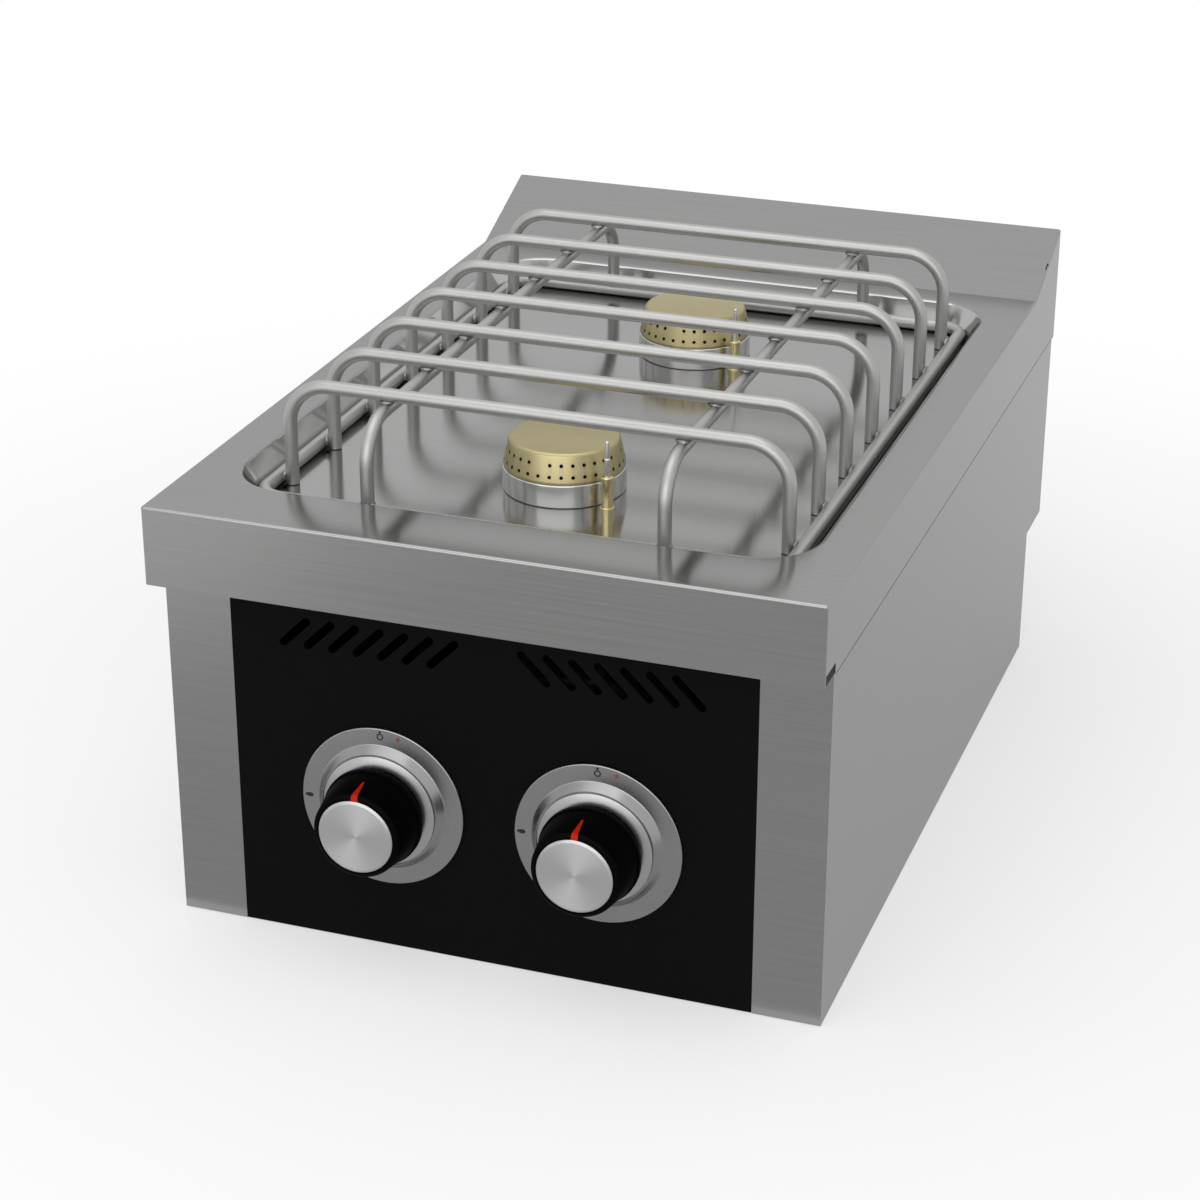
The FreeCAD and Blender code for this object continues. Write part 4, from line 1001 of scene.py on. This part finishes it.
def makeFloor():
    builder = bmesh.new()
    bmesh.ops.create_grid(builder, x_segments=8, y_segments=8, size=stageLook["floorSize"] / 2)
    floor = stageSheet("floor", builder)
    floor.location.z = -stageLook["floorDrop"]
    material, tree, shader = newMaterial("paleFloor")
    setSockets(shader, color=stageLook["floorColor"], roughness=stageLook["floorRough"],
               specular=stageLook["floorShine"])
    coords = addNode(tree, "ShaderNodeTexCoord")
    reach = vectorMath(tree, "LENGTH", coords.outputs["Object"])
    white = mapValue(tree, reach, stageLook["floorWhite"], 1.0, stageLook["whiteFrom"], stageLook["whiteTo"],
                     "SMOOTHSTEP")  # the shadow shows near the object
    glow = addNode(tree, "ShaderNodeEmission")
    mix = addNode(tree, "ShaderNodeMixShader")
    tree.links.new(joinValues(tree, "MULTIPLY", whiteRays(tree), white), mix.inputs[0])
    tree.links.new(shader.outputs[0], mix.inputs[1])
    tree.links.new(glow.outputs[0], mix.inputs[2])
    tree.links.new(mix.outputs[0], tree.nodes["Material Output"].inputs["Surface"])
    floor.data.materials.append(material)


def makeMat():
    # grey card on the floor before the front; only mirrored rays meet it, so it tones the front's reflections
    builder = bmesh.new()
    builder.faces.new([builder.verts.new((x, y, stageLook["matHeight"])) for x, y in stageLook["matOutline"]])
    mat = stageSheet("greyMat", builder)
    mat.visible_camera = mat.visible_diffuse = mat.visible_transmission = mat.visible_shadow = False
    material, tree, shader = newMaterial("greyCard")
    setSockets(shader, color=rgb(0, 0, 0), roughness=1.0, specular=0.0)
    shader.inputs["Emission Color"].default_value = rgb(1, 1, 1)
    shader.inputs["Emission Strength"].default_value = stageLook["matTone"]
    mat.data.materials.append(material)


def makeWorld():
    world = bpy.data.worlds.new("paleRoom")
    world.use_nodes = True
    bpy.context.scene.world = world
    tree = world.node_tree
    room = tree.nodes["Background"]
    room.inputs["Color"].default_value = rgb(1, 1, 1)
    level = mapValue(tree, whiteRays(tree), stageLook["worldLevel"], 1.0)
    tree.links.new(level, room.inputs["Strength"])


def makeLamp(name, place, target, size, power):
    data = bpy.data.lights.new(name, "AREA")
    data.shape = "RECTANGLE"
    data.size, data.size_y = size
    data.energy = power
    lamp = bpy.data.objects.new(name, data)
    lamp.location = place
    lamp.rotation_mode = "QUATERNION"
    lamp.rotation_quaternion = (Vector(target) - Vector(place)).to_track_quat("-Z", "Y")
    bpy.context.scene.collection.objects.link(lamp)


makeFloor()
makeMat()
makeWorld()
for name in ("top", "front"):
    makeLamp(name + "Lamp", stageLook[name + "Place"], stageLook["aim"], stageLook[name + "Size"],
             stageLook[name + "Power"])
bpy.context.scene.view_settings.view_transform = "Standard"
print("stage: floor, world and lamps set")
